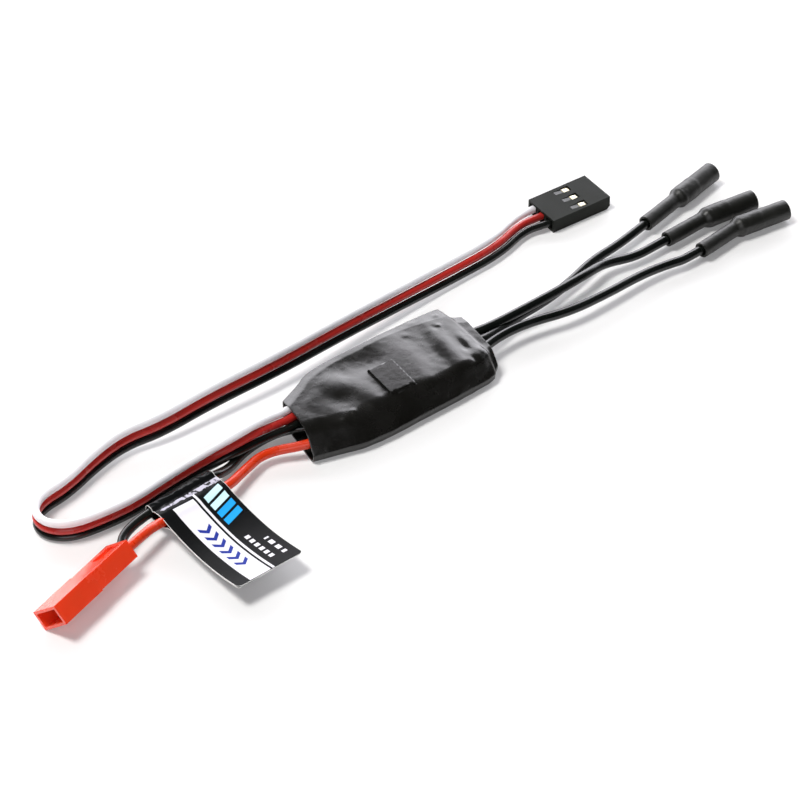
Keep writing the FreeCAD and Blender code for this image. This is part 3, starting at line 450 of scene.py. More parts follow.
@dataclass(frozen=True)
class LabelPrint:
    """The label's glossy print: bands, slanted bars, small bars and chevrons on a black ground.

    Places on it are in millimetres, across from the left edge and down from the leads.
    """

    name: str = "label_film"
    ground: Colour = (0.0055, 0.006, 0.007)
    paper: Colour = (0.88, 0.86, 0.92)
    blue: Colour = (0.023, 0.38, 0.88)
    pale: Colour = (0.62, 0.90, 1.0)
    indigo: Colour = (0.024, 0.042, 0.30)
    # Pale grey of the torn paper strip, which also serves as a painted highlight along the roll.
    torn_paper_and_highlight: Colour = (0.55, 0.53, 0.62)
    bare: Colour = (0.80, 0.80, 0.78)
    width: float = 13.26
    tip: float = 22.4
    rim_width: float = 0.09
    rim_soft: float = 0.04
    band: tuple[float, float, float, float] = (2.6, 6.75, 1.6, 22.2)
    stripe: tuple[float, float, float, float] = (7.15, 7.6, 0.7, 22.2)
    chevron_lean: float = 0.8
    chevron_step: float = 1.9
    chevron_bar: tuple[float, float] = (0.35, 1.15)
    chevron_reach: float = 1.2
    chevron_rows: tuple[float, float] = (7.6, 18.9)
    slant_lean: float = 0.32
    slant_step: float = 1.78
    slant_bar: float = 1.3
    slant_rows: tuple[float, float] = (5.0, 11.8)
    slant_span: tuple[float, float] = (8.4, 12.3)
    slant_change: tuple[float, float] = (8.3, 8.6)
    stud_rows: tuple[BarRow, BarRow] = (
        BarRow(8.7, 9.6, 12.6, 19.9, 1.25, (0.1, 0.85)),
        BarRow(10.9, 11.8, 14.9, 20.1, 1.75, (0.2, 1.25)),
    )
    gloss: tuple[float, float] = (0.13, 0.19)
    matt_rows: tuple[float, float] = (4.0, 14.0)
    matt: float = 0.3
    tear_and_highlight_depth: tuple[float, float] = (-1.1, 1.4)
    tear_and_highlight_start: tuple[float, float] = (0.8, 1.2)

    def material(self) -> bpy.types.Material:
        """Build the material.

        Returns:
            The finished material.
        """
        shader = Shader(self.name)
        across, down = self.chart(shader)
        colour = shader.blend(shader.noise(0.003, 3.0), self.ground, (0.009, 0.0095, 0.0095))
        paper = shader.blend(shader.noise(0.0021, 4.0), self.paper, (0.80, 0.79, 0.86))
        colour = shader.blend(self.block(shader, across, down, *self.band), colour, paper)
        colour = shader.blend(self.block(shader, across, down, *self.stripe), colour, paper)
        colour = shader.blend(self.chevrons(shader, across, down), colour, self.indigo)
        slid = shader.sum("ADD", down, shader.sum("MULTIPLY", across, self.slant_lean))
        shade = shader.blend(shader.ramp(slid, *self.slant_change), self.pale, self.blue)
        colour = shader.blend(self.slants(shader, across, slid), colour, shade)
        colour = shader.blend(self.studs(shader, across, down), colour, paper)
        # The torn strip: bare paper, and also a painted highlight along the roll.
        torn_paper_and_highlight = self.tear_and_highlight(shader, across, down)
        colour = shader.blend(torn_paper_and_highlight, colour, self.torn_paper_and_highlight)
        colour = shader.blend(self.rim(shader, across, down), colour, self.bare)
        fine = shader.noise(0.0004, 3.0)
        wrinkle = shader.noise(0.0022, 3.0)
        gloss = shader.ramp(wrinkle, 0.3, 0.7, *self.gloss)
        gloss = shader.sum("ADD", gloss, shader.ramp(down, *self.matt_rows, 0.0, self.matt))
        rough = shader.sum("ADD", gloss, shader.sum("MULTIPLY", torn_paper_and_highlight, 0.4))
        normal = shader.raise_by(wrinkle, 0.00003, 0.4)
        normal = shader.raise_by(torn_paper_and_highlight, 0.00006, 0.8, normal)
        normal = shader.raise_by(fine, 0.000002, 0.3, normal)
        return shader.finish(colour, rough, normal, Specular_IOR_Level=0.05)

    def chart(self, shader: Shader) -> tuple[bpy.types.NodeSocket, bpy.types.NodeSocket]:
        """Places on the print, in millimetres.

        Args:
            shader: The material under construction.

        Returns:
            The distance across it, and down it from the leads to the tip.
        """
        chart = shader.add("ShaderNodeUVMap", uv_map="print")
        parts = shader.add("ShaderNodeSeparateXYZ")
        shader.put(chart.outputs["UV"], parts.inputs[0])
        return (shader.sum("MULTIPLY", parts.outputs["X"], PRINT_UNIT),
                shader.sum("MULTIPLY", parts.outputs["Y"], PRINT_UNIT))

    def within(self, shader: Shader, value: object, low: float, high: float,
               soft: float = 0.035) -> bpy.types.NodeSocket:
        """Tell where a value lies in a range.

        Args:
            shader: The material under construction.
            value: The value.
            low: Start of the range.
            high: End of the range.
            soft: Half the width of its blurred ends.

        Returns:
            1 in the range and 0 outside it.
        """
        above = shader.ramp(value, low - soft, low + soft)
        below = shader.ramp(value, high + soft, high - soft)
        return shader.sum("MULTIPLY", above, below)

    def block(self, shader: Shader, across: object, down: object, left: float, right: float,
              top: float, bottom: float) -> bpy.types.NodeSocket:
        """A filled rectangle of the print.

        Args:
            shader: The material under construction.
            across: Millimetres across the print.
            down: Millimetres down it.
            left: Its left edge.
            right: Its right edge.
            top: Its edge near the leads.
            bottom: Its edge near the tip.

        Returns:
            1 on it and 0 off it.
        """
        return shader.sum("MULTIPLY", self.within(shader, across, left, right),
                          self.within(shader, down, top, bottom))

    def chevrons(self, shader: Shader, across: object, down: object) -> bpy.types.NodeSocket:
        """A row of chevrons along the white band.

        Args:
            shader: The material under construction.
            across: Millimetres across the print.
            down: Millimetres down it.

        Returns:
            1 on them and 0 off them.
        """
        middle = (self.band[0] + self.band[1]) / 2
        off = shader.sum("ABSOLUTE", shader.sum("SUBTRACT", across, middle))
        slid = shader.sum("ADD", down, shader.sum("MULTIPLY", off, self.chevron_lean))
        step = shader.sum("MODULO", slid, self.chevron_step)
        bars = self.within(shader, step, *self.chevron_bar)
        area = shader.sum("MULTIPLY", self.within(shader, off, -1.0, self.chevron_reach),
                          self.within(shader, slid, *self.chevron_rows))
        return shader.sum("MULTIPLY", bars, area)

    def slants(self, shader: Shader, across: object, slid: object) -> bpy.types.NodeSocket:
        """A stack of slanted bars near the leads.

        Args:
            shader: The material under construction.
            across: Millimetres across the print.
            slid: Millimetres down it, more towards the right edge.

        Returns:
            1 on them and 0 off them.
        """
        step = shader.sum("MODULO", shader.sum("SUBTRACT", slid, self.slant_rows[0]), self.slant_step)
        rows = shader.sum("MULTIPLY", self.within(shader, step, 0.0, self.slant_bar),
                          self.within(shader, slid, *self.slant_rows))
        return shader.sum("MULTIPLY", rows, self.within(shader, across, *self.slant_span))

    def studs(self, shader: Shader, across: object, down: object) -> bpy.types.NodeSocket:
        """Two rows of small white bars near the tip, one of them longer.

        Args:
            shader: The material under construction.
            across: Millimetres across the print.
            down: Millimetres down it.

        Returns:
            1 on them and 0 off them.
        """
        rows = []
        for row in self.stud_rows:
            box = self.block(shader, across, down, row.left, row.right, row.top, row.bottom)
            bars = self.within(shader, shader.sum("MODULO", down, row.step), *row.bar)
            rows.append(shader.sum("MULTIPLY", box, bars))
        return shader.sum("MAXIMUM", *rows)

    def tear_and_highlight(self, shader: Shader, across: object, down: object) -> bpy.types.NodeSocket:
        """The ragged strip of bare paper beside the roll, wider towards the right edge; its pale colour is
        also a painted highlight along the roll.

        Args:
            shader: The material under construction.
            across: Millimetres across the print.
            down: Millimetres down it.

        Returns:
            1 on it and 0 off it.
        """
        ragged = shader.noise(0.0009, 5.0, roughness=0.7)
        wide = shader.ramp(across, 2.0, self.width, -0.3, 0.75)
        upper = shader.sum("SUBTRACT", shader.sum("MULTIPLY", ragged, self.tear_and_highlight_depth[0]),
                           shader.sum("SUBTRACT", wide, 0.6))
        lower = shader.sum("MULTIPLY", ragged, self.tear_and_highlight_depth[1])
        above = shader.sum("GREATER_THAN", down, upper)
        below = shader.sum("LESS_THAN", down, lower)
        patchy = shader.ramp(shader.noise(0.0011, 3.0), 0.36, 0.44)
        strip = shader.sum("MULTIPLY", shader.sum("MULTIPLY", above, below), patchy)
        return shader.sum("MULTIPLY", strip, shader.ramp(across, *self.tear_and_highlight_start))

    def rim(self, shader: Shader, across: object, down: object) -> bpy.types.NodeSocket:
        """The thin bare edge of the paper.

        Args:
            shader: The material under construction.
            across: Millimetres across the print.
            down: Millimetres down it.

        Returns:
            1 on it and 0 off it.
        """
        inner = self.rim_width - self.rim_soft
        sides = shader.sum("MAXIMUM", shader.ramp(across, self.rim_width, inner),
                           shader.ramp(across, self.width - self.rim_width, self.width - inner))
        return shader.sum("MAXIMUM", sides, shader.ramp(down, self.tip - inner, self.tip))


class Wire(Enum):
    """The insulations of the leads."""

    WHITE = CableSkin("servo_wire_white", (0.90, 0.90, 0.92), (0.82, 0.81, 0.84), 0.38)
    RED = CableSkin("servo_wire_red", (0.50, 0.026, 0.020), (0.42, 0.024, 0.02), 0.26)
    BLACK = CableSkin("servo_wire_black", (0.0035, 0.0046, 0.0038), (0.007, 0.008, 0.007), 0.24)
    SILICONE_RED = CableSkin("silicone_red", (0.72, 0.040, 0.005), (0.64, 0.036, 0.006), 0.27)
    SILICONE_BLACK = CableSkin("silicone_black", (0.0036, 0.0048, 0.004), (0.007, 0.0085, 0.0075), 0.23)


class Finish(Enum):
    """The finishes of everything that isn't a lead."""

    JACKET = ShrinkFilm("shrink_film", (0.0062, 0.006, 0.0052), (0.0095, 0.0092, 0.008), 0.25)
    SLEEVE = ShrinkFilm("sleeve_film", (0.0062, 0.0066, 0.0050), (0.0105, 0.0108, 0.0086), 0.42, 0.0007)
    SERVO_PLUG = Moulding("servo_plug_plastic", (0.0085, 0.0100, 0.0078), (0.012, 0.0138, 0.011), 0.58,
                          specular=0.17)
    BATTERY_PLUG = Moulding("battery_plug_plastic", (0.90, 0.062, 0.018), (0.88, 0.057, 0.016), 0.24,
                            0.0003, 0.000004, 0.42, 0.6)
    TONGUE = Moulding("servo_tongue_plastic", (0.030, 0.032, 0.032), (0.04, 0.042, 0.042), 0.34)
    LABEL = LabelPrint()
    CHIP = Moulding("chip_plastic", (0.02, 0.02, 0.021), (0.03, 0.03, 0.03), 0.5)
    TANTALUM = Moulding("capacitor_tantalum", (0.72, 0.42, 0.06), (0.6, 0.36, 0.06), 0.45)
    CERAMIC = FiredCeramic("capacitor_ceramic", (0.42, 0.28, 0.16), 0.5)
    RESISTOR = FiredCeramic("resistor_ceramic", (0.03, 0.03, 0.033), 0.4)
    GOLD = Metal("gold_plate", (0.96, 0.80, 0.46), (0.85, 0.66, 0.34), 0.24)
    SPRING = Metal("contact_gold", (1.0, 0.93, 0.72), (1.0, 0.88, 0.60), 0.42)
    TIN = Metal("tinned_metal", (0.72, 0.72, 0.7), (0.55, 0.55, 0.54), 0.28)
    SOLDER = Metal("solder", (0.70, 0.70, 0.69), (0.5, 0.5, 0.5), 0.3)
    BOARD = SolderMask("circuit_board", (0.008, 0.06, 0.03), (0.02, 0.12, 0.05))


_made: dict[str, bpy.types.Material] = {}


def material_of(finish: Enum) -> bpy.types.Material:
    """The one material of a finish, built when it is first asked for.

    Args:
        finish: The finish.

    Returns:
        The material.
    """
    if finish.name not in _made:
        _made[finish.name] = finish.value.material()
    return _made[finish.name]


# Shared ways to make pieces


def linked(name: str, data: bpy.types.ID) -> bpy.types.Object:
    """A new object in the scene.

    Args:
        name: The object's name.
        data: What it shows: a mesh, a curve, a lamp or a camera.

    Returns:
        The new object.
    """
    piece = bpy.data.objects.new(name, data)
    bpy.context.scene.collection.objects.link(piece)
    return piece


def mesh_piece(name: str, verts: Sequence[Sequence[float]], faces: Sequence[Sequence[int]],
               smooth: bool = True) -> bpy.types.Object:
    """An object from vertices in metres and faces, linked to the scene.

    Args:
        name: The piece's name.
        verts: Corners in the object's frame, in metres.
        faces: Corner numbers of each face.
        smooth: Whether the faces are shaded smooth.

    Returns:
        The new object.
    """
    mesh = bpy.data.meshes.new(name)
    mesh.from_pydata([tuple(v) for v in verts], [], [tuple(f) for f in faces])
    mesh.validate()
    mesh.polygons.foreach_set("use_smooth", [smooth] * len(mesh.polygons))
    return linked(name, mesh)


def dress(piece: bpy.types.Object, finish: Enum) -> None:
    """Give a piece one finish all over.

    Args:
        piece: The piece.
        finish: Its finish.
    """
    piece.data.materials.clear()
    piece.data.materials.append(material_of(finish))
    if piece.type == "MESH":
        piece.data.polygons.foreach_set("material_index", [0] * len(piece.data.polygons))


def bake_modifiers(piece: bpy.types.Object) -> None:
    """Turn a piece with its modifiers into a plain mesh.

    Args:
        piece: The piece.
    """
    bpy.context.view_layer.update()
    graph = bpy.context.evaluated_depsgraph_get()
    mesh = bpy.data.meshes.new_from_object(piece.evaluated_get(graph), depsgraph=graph)
    old = piece.data
    piece.modifiers.clear()
    piece.data = mesh
    mesh.name = piece.name
    bpy.data.meshes.remove(old)


def outward(piece: bpy.types.Object) -> None:
    """Turn every face of a piece outward.

    Args:
        piece: The piece.
    """
    work = bmesh.new()
    work.from_mesh(piece.data)
    bmesh.ops.recalc_face_normals(work, faces=work.faces)
    work.to_mesh(piece.data)
    work.free()


def smoothed(piece: bpy.types.Object, degrees: float = 40.0) -> None:
    """Shade a piece smooth, except over edges sharper than this."""
    piece.data.polygons.foreach_set("use_smooth", [True] * len(piece.data.polygons))
    piece.data.set_sharp_from_angle(angle=math.radians(degrees))


def add_wall(piece: bpy.types.Object, thickness: float, offset: float = -1.0) -> None:
    """Give a sheet a thickness.

    Args:
        piece: The sheet.
        thickness: How thick it becomes, in metres.
        offset: -1 for a wall inside the sheet, 0 for one on both sides of it.
    """
    wall = piece.modifiers.new("wall", "SOLIDIFY")
    wall.thickness = thickness
    wall.offset = offset


def add_rounding(piece: bpy.types.Object, width: float, segments: int, degrees: float) -> None:
    """Round the edges of a piece.

    Args:
        piece: The piece.
        width: Width of the rounding, in metres.
        segments: Steps across the rounding.
        degrees: Edges sharper than this are rounded.
    """
    bevel = piece.modifiers.new("rounding", "BEVEL")
    bevel.width = width
    bevel.segments = segments
    bevel.limit_method = "ANGLE"
    bevel.angle_limit = math.radians(degrees)


def softened(node: str, name: str, width: float) -> bpy.types.Object:
    """A copy of a hard-edged node with its edges rounded.

    Args:
        node: The node to copy.
        name: The new piece's name.
        width: Width of the rounding, in metres.

    Returns:
        The new object, which stands for the node.
    """
    work = bmesh.new()
    work.from_mesh(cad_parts[node].data)
    bmesh.ops.remove_doubles(work, verts=work.verts, dist=0.002 * MM)
    bmesh.ops.dissolve_limit(work, angle_limit=math.radians(1.0), verts=work.verts, edges=work.edges)
    mesh = bpy.data.meshes.new(name)
    work.to_mesh(mesh)
    work.free()
    piece = linked(name, mesh)
    add_rounding(piece, width, segments=2, degrees=35)
    bake_modifiers(piece)
    piece.data.polygons.foreach_set("use_smooth", [False] * len(piece.data.polygons))
    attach(piece, BODY)
    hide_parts(node)
    return piece


@dataclass
class Lead:
    """One insulated wire on a smooth line through its route."""

    name: str
    route: Sequence[Point]
    diameter: float
    length: float
    skin: Wire
    slot: str
    far_end: str
    with_pieces: Sequence[object] = ()
    stiffness: str = "limp"

    def build(self) -> bpy.types.Object:
        """Returns:
            The curve object that stands for the wire's node.
        """
        data = bpy.data.curves.new(self.name + "_line", "CURVE")
        data.dimensions = "3D"
        spline = data.splines.new("NURBS")
        spline.points.add(len(self.route) - 1)
        for point, place in zip(spline.points, self.route):
            point.co = (*(MM * part for part in place), 1.0)
        spline.order_u = 3
        spline.use_endpoint_u = True
        data.resolution_u = 10
        data.bevel_depth = MM * self.diameter / 2
        data.bevel_resolution = 5
        data.use_fill_caps = True
        piece = linked(self.name + "_cord", data)
        data.materials.append(material_of(self.skin))
        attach(piece, BODY)
        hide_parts(self.name)
        LOG.info("%s: %d route points", self.name, len(self.route))
        return piece


@dataclass
class SignalRibbon:
    """Three bonded wires that leave the jacket flat, turn on edge and lie flat at the plug.

    Each point of the route is a place in millimetres and the ribbon's roll in degrees.
    """

    diameter: float = 1.4
    pitch: float = 1.5
    start: Point = (-10.0, 4.3, 3.35)
    plug: Point = (52.5, 20.8, 1.375)
    plug_turn: float = -4.0
    contact_pitch: float = 2.54
    fan_run: float = 0.4
    seat: float = 3.0
    route: tuple[tuple[float, float, float, float], ...] = (
        (-14.2, 3.6, 3.7, 18),
        (-19.0, 2.6, 3.65, 34),
        (-24.6, 3.1, 4.0, 63),
        (-30.2, 2.7, 4.25, 76),
        (-36.2, 4.0, 2.7, 84),
        (-44.0, 3.7, 2.4, 90),
        (-51.6, 2.8, 2.3, 90),
        (-58.0, 3.2, 2.3, 90),
        (-63.3, 4.2, 2.3, 90),
        (-66.3, 7.1, 2.3, 90),
        (-66.2, 10.7, 2.3, 90),
        (-63.3, 12.9, 2.3, 92),
        (-57.6, 13.4, 2.3, 95),
        (-50.4, 15.8, 2.5, 98),
        (-43.6, 16.9, 2.8, 101),
        (-37.0, 15.3, 3.4, 104),
        (-27.0, 15.2, 4.3, 107),
        (-12.0, 14.6, 4.7, 110),
        (2.0, 15.8, 4.1, 113),
        (16.6, 17.0, 3.0, 118),
        (29.0, 17.8, 2.3, 126),
        (39.6, 18.4, 2.0, 142),
        (47.2, 21.1, 1.5, 164),
    )
    lengths: tuple[float, float, float] = (184.7, 184.7, 185.1)

    def side_route(self, side: int) -> list[Point]:
        """The route of one wire.

        Args:
            side: -1 for ground, 0 for positive, 1 for signal.

        Returns:
            Its points, in millimetres.
        """
        corners = [Vector(self.start)] + [Vector(point[:3]) for point in self.route]
        rolls = [0.0] + [point[3] for point in self.route]
        befores = corners[:1] + corners
        afters = corners[1:] + [Vector(self.plug)]
        points = []
        for here, roll, before, after in zip(corners, rolls, befores, afters):
            ahead = (after - before).normalized()
            right = ahead.cross(Vector((0, 0, 1))).normalized()
            turn = math.radians(roll)
            across = right * math.cos(turn) + right.cross(ahead) * math.sin(turn)
            points.append(tuple(here + across * self.pitch * side))
        turned = Matrix.Rotation(math.radians(self.plug_turn), 3, "Z")
        for run in (-self.fan_run, self.seat):
            end = Vector(self.plug) + turned @ Vector((run, self.contact_pitch * side, 0))
            points.append(tuple(end))
        return points

    def build(self, plug_piece: bpy.types.Object, springs: dict[str, bpy.types.Object]) -> None:
        """Make the three wires.

        Args:
            plug_piece: The plug's housing, which the middle wire carries.
            springs: The spring of each circuit's contact.
        """
        circuits = (
            ("ground", -1, Wire.BLACK, "servo_wire_black"),
            ("positive", 0, Wire.RED, "servo_wire_red"),
            ("signal", 1, Wire.WHITE, "servo_wire_white"),
        )
        for (circuit, side, skin, slot), length in zip(circuits, self.lengths):
            carried: list[object] = [f"servo_contact_{circuit}", springs[circuit]]
            if side == 0:
                carried.append(plug_piece)
            Lead(f"servo_wire_{circuit}", self.side_route(side), self.diameter, length, skin,
                 slot, "plug" if side == 0 else "connector", carried).build()


@dataclass
class BatteryLeads:
    """The red and black silicone leads to the battery plug, in millimetres."""

    diameter: float = 1.7
    positive: tuple[Point, ...] = (
        (-10.0, -4.4, 3.5),
        (-14.0, -4.8, 3.45),
        (-19.6, -3.7, 2.6),
        (-26.4, 0.2, 1.9),
        (-32.0, -1.6, 2.2),
        (-37.6, -3.9, 2.9),
        (-50.9, -3.95, 3.0),
        (-54.973, -5.257, 4.168),
        (-62.616, -7.622, 4.168),
    )
    negative: tuple[Point, ...] = (
        (-10.0, -0.6, 3.5),
        (-12.9, -0.4, 3.1),
        (-16.3, 0.9, 1.3),
        (-19.5, 3.1, 1.25),
        (-23.8, 4.0, 0.9),
        (-28.9, 3.3, 0.9),
        (-33.1, 1.4, 0.95),
        (-37.7, -0.1, 2.9),
        (-51.0, -0.6, 2.9),
        (-57.2, -2.1, 2.8),
        (-59.355, -4.629, 2.537),
        (-63.176, -5.812, 2.537),
    )

    def build(self, plug_piece: bpy.types.Object, label: bpy.types.Object) -> None:
        """Make both leads.

        Args:
            plug_piece: The plug's housing, which the red lead carries.
            label: The label, which hangs on both leads.
        """
        Lead("power_wire_positive", self.positive, self.diameter, 54.8, Wire.SILICONE_RED,
             "silicone_red", "plug", (plug_piece, "battery_pin_positive", label)).build()
        Lead("power_wire_negative", self.negative, self.diameter, 56.7, Wire.SILICONE_BLACK,
             "silicone_black", "connector", ("battery_pin_negative",)).build()


@dataclass
class MotorLeads:
    """Three black silicone leads to the sleeved bullet sockets, in millimetres."""

    diameter: float = 1.7
    routes: tuple[tuple[str, float, tuple[Point, ...]], ...] = (
        ("a", 62.8, (
            (14.2, 2.7, 3.5), (18.2, 1.2, 3.5), (23.6, 0.5, 3.4), (30.5, 0.3, 3.6),
            (38.2, 0.1, 3.9), (45.6, 0.8, 3.6), (51.4, 2.2, 2.5), (57.4, 0.7, 1.9),
            (62.306, 0.676, 1.98), (76.299, 1.092, 1.98))),
        ("b", 63.0, (
            (14.2, -0.9, 3.5), (18.4, -1.4, 3.45), (23.4, -0.7, 2.7), (29.8, 0.7, 2.0),
            (37.6, 1.4, 1.7), (44.6, 2.8, 1.8), (50.8, 4.6, 1.9), (57.2, 5.2, 1.8),
            (62.440, 6.013, 1.98), (76.173, 8.732, 1.98))),
        ("c", 65.4, (
            (14.2, -4.5, 3.5), (18.6, -3.3, 3.45), (24.0, -2.4, 3.3), (29.6, -2.8, 3.3),
            (37.4, -4.8, 3.1), (46.0, -4.8, 2.7), (55.0, -4.3, 2.3), (60.8, -4.7, 1.9),
            (65.060, -5.850, 1.98), (78.993, -4.483, 1.98))),
    )

    def build(self, sleeves: dict[str, bpy.types.Object]) -> None:
        """Make the three leads.

        Args:
            sleeves: The sleeve of each lead, by letter.
        """
        for letter, length, route in self.routes:
            Lead(f"motor_wire_{letter}", route, self.diameter, length, Wire.SILICONE_BLACK,
                 "silicone_black", "connector",
                 (f"bullet_socket_{letter}", sleeves[letter])).build()


# Studio


def aim(thing: bpy.types.Object, place: Point, way: Vector) -> None:
    """Put a camera or lamp in place and turn it.

    Args:
        thing: The camera or lamp.
        place: Where it goes.
        way: The direction that it looks in.
    """
    thing.location = place
    thing.rotation_mode = "QUATERNION"
    thing.rotation_quaternion = way.to_track_quat("-Z", "Y")


@dataclass(frozen=True)
class SoftBox:
    """One lamp: where it hangs, what it points at, its two sides, its power and its colour."""

    name: str
    place: Point
    target: Point
    size: tuple[float, float]
    power: float
    colour: Colour


@dataclass
class Studio:
    """Camera, floor and lights, in metres and watts, with the lens and sensor in millimetres."""

    eye: Point = (-0.28397, -0.35788, 0.39657)
    look: Point = (0.4719, 0.5890, -0.6561)
    lens: float = 157.5
    sensor: float = 36.0
    floor_size: float = 3.0
    floor_level: float = -0.00002
    floor_tone: float = 0.9
    floor_glow: float = 0.14
    surround: float = 0.08
    lamps: tuple[SoftBox, ...] = (
        SoftBox("key_box", (-0.30, 0.22, 0.90), (0, 0, 0), (0.32, 0.32), 8.0, (1.0, 0.99, 0.97)),
        SoftBox("back_panel", (0.44, 0.54, 0.29), (0.0, 0.0, 0.29), (2.0, 0.56), 17.5,
                (0.96, 0.95, 1.0)),
        SoftBox("front_fill", (-0.45, -0.62, 0.55), (0, 0, 0), (0.6, 0.5), 2.6, (0.97, 0.96, 1.0)),
    )

    def camera(self) -> None:
        """Set the camera up."""
        data = bpy.data.cameras.new("view")
        data.lens = self.lens
        data.sensor_width = self.sensor
        data.clip_start = 0.01
        camera = linked("view", data)
        aim(camera, self.eye, Vector(self.look))
        bpy.context.scene.camera = camera

    def lamp(self, box: SoftBox) -> None:
        """Hang one lamp.

        Args:
            box: The lamp.
        """
        data = bpy.data.lights.new(box.name, "AREA")
        data.shape = "RECTANGLE"
        data.size, data.size_y = box.size
        data.energy = box.power
        data.color = box.colour
        aim(linked(box.name, data), box.place, Vector(box.target) - Vector(box.place))

    def floor(self) -> None:
        """Lay the pale floor, which shows white to the camera and keeps the shadows."""
        half, z = self.floor_size / 2, self.floor_level
        corners = [(-half, -half, z), (half, -half, z), (half, half, z), (-half, half, z)]
        piece = mesh_piece("floor", corners, [(0, 1, 2, 3)], smooth=False)
        material = bpy.data.materials.new("floor_paper")
        material.use_nodes = True
        material.node_tree.nodes.clear()
        nodes = NodeBuilder(material.node_tree)
        out = nodes.add("ShaderNodeOutputMaterial")
        paper = nodes.add("ShaderNodeBsdfDiffuse")
        nodes.put((self.floor_tone,) * 3 + (1,), paper.inputs["Color"])
        glow = nodes.add("ShaderNodeEmission")
        nodes.put(1.0, glow.inputs["Strength"])
        paths = nodes.add("ShaderNodeLightPath").outputs
        seen = nodes.sum("MAXIMUM", paths["Is Camera Ray"], paths["Is Glossy Ray"])
        seen = nodes.sum("MAXIMUM", seen, paths["Is Transmission Ray"])
        mix = nodes.add("ShaderNodeMixShader")
        nodes.put(nodes.sum("MULTIPLY", seen, self.floor_glow), mix.inputs["Fac"])
        nodes.put(paper.outputs[0], mix.inputs[1])
        nodes.put(glow.outputs[0], mix.inputs[2])
        nodes.put(mix.outputs[0], out.inputs["Surface"])
        piece.data.materials.append(material)

    def world(self) -> None:
        """Set a plain pale surround."""
        world = bpy.data.worlds.new("surround")
        bpy.context.scene.world = world
        world.use_nodes = True
        nodes = NodeBuilder(world.node_tree)
        mix = nodes.add("ShaderNodeMix", data_type="FLOAT")
        nodes.put(self.surround, mix.inputs["A"])
        nodes.put(1.0, mix.inputs["B"])
        nodes.put(nodes.add("ShaderNodeLightPath").outputs["Is Camera Ray"], mix.inputs["Factor"])
        nodes.put(mix.outputs[0], nodes.tree.nodes["Background"].inputs["Strength"])

    def build(self) -> None:
        """Set everything up."""
        bpy.context.scene.view_settings.view_transform = "Standard"
        self.camera()
        self.floor()
        self.world()
        for box in self.lamps:
            self.lamp(box)


# The jacket


def steady(table: Sequence[tuple[float, float]], x: float) -> float:
    """A smooth value from a table of places and values, which never overshoots the table.

    Args:
        table: Pairs of place and value, in rising order of place.
        x: The place asked for.

    Returns:
        The value there.
    """
    if x <= table[0][0]:
        return table[0][1]
    if x >= table[-1][0]:
        return table[-1][1]
    slopes = [(b[1] - a[1]) / (b[0] - a[0]) for a, b in zip(table, table[1:])]
    grades = [slopes[0]]
    for before, after in zip(slopes, slopes[1:]):
        flat = before * after <= 0
        grades.append(0.0 if flat else 2 * before * after / (before + after))
    grades.append(slopes[-1])
    index = max(i for i, (place, _) in enumerate(table[:-1]) if place <= x)
    (x0, y0), (x1, y1) = table[index], table[index + 1]
    run = x1 - x0
    t = (x - x0) / run
    return (y0 * (1 + 2 * t) * (1 - t) ** 2 + grades[index] * run * t * (1 - t) ** 2
            + y1 * t * t * (3 - 2 * t) + grades[index + 1] * run * t * t * (t - 1))


def eased(share: float) -> float:
    """A share held between 0 and 1, with a level start and end."""
    held = min(1.0, max(0.0, share))
    return held * held * (3 - 2 * held)


def rounded_ring(corners: Sequence[Point], spans: Sequence[int], turns: int) -> list[tuple[float, float]]:
    """Points around an outline of straight sides and round corners.

    Args:
        corners: Across, up and radius of each corner, in order.
        spans: Steps along the side that follows each corner.
        turns: Steps around each corner.

    Returns:
        The points, across and up.
    """
    points: list[tuple[float, float]] = []
    for index, (across, up, radius) in enumerate(corners):
        here = Vector((across, up))
        back = (Vector(corners[index - 1][:2]) - here).normalized()
        ahead_corner = corners[(index + 1) % len(corners)]
        on = (Vector(ahead_corner[:2]) - here).normalized()
        half = back.angle(on) / 2
        centre = here + (back + on).normalized() * (radius / math.sin(half))
        enter = here + back * (radius / math.tan(half)) - centre
        leave = here + on * (radius / math.tan(half)) - centre
        sweep = enter.angle(leave)
        for turn in range(turns + 1):
            part = turn / turns
            spot = enter * math.sin((1 - part) * sweep) + leave * math.sin(part * sweep)
            points.append(tuple(centre + spot / math.sin(sweep)))
        start = Vector(points[-1])
        on_half = half_angle(corners, (index + 1) % len(corners))
        end = Vector(ahead_corner[:2]) - on * (ahead_corner[2] / math.tan(on_half))
        for step in range(1, spans[index]):
            points.append(tuple(start.lerp(end, step / spans[index])))
    return points


def half_angle(corners: Sequence[Point], index: int) -> float:
    """Half the angle between the two sides that meet at a corner.

    Args:
        corners: Across, up and radius of each corner.
        index: The corner's number.

    Returns:
        The half angle, in radians.
    """
    here = Vector(corners[index][:2])
    back = Vector(corners[index - 1][:2]) - here
    on = Vector(corners[(index + 1) % len(corners)][:2]) - here
    return back.angle(on) / 2


@dataclass(frozen=True)
class Lump:
    """A soft raised or sunken place of the film, in millimetres."""

    x: float
    y: float
    across: float
    along: float
    height: float
    turn: float = 0.0
    power: float = 2.0

    def at(self, x: float, y: float) -> float:
        """How much the lump raises the film at a place.

        Args:
            x: The place along the jacket.
            y: The place across it.

        Returns:
            The rise, in millimetres.
        """
        turn = math.radians(self.turn)
        dx, dy = x - self.x, y - self.y
        u = (dx * math.cos(turn) + dy * math.sin(turn)) / self.across
        v = (-dx * math.sin(turn) + dy * math.cos(turn)) / self.along
        reach = math.sqrt(u * u + v * v)
        return self.height * math.exp(-reach ** self.power)


@dataclass(frozen=True)
class Station:
    """The film's outline at one place along the jacket, in millimetres."""

    x: float
    skew: float
    near: float
    far: float
    low: float
    high: float
    near_slope: float = 3.0
    far_slope: float = 1.8
    drop: float = 0.35
    fold: float = 1.9
    near_round: float = 4.6
    fall: float = 0.0


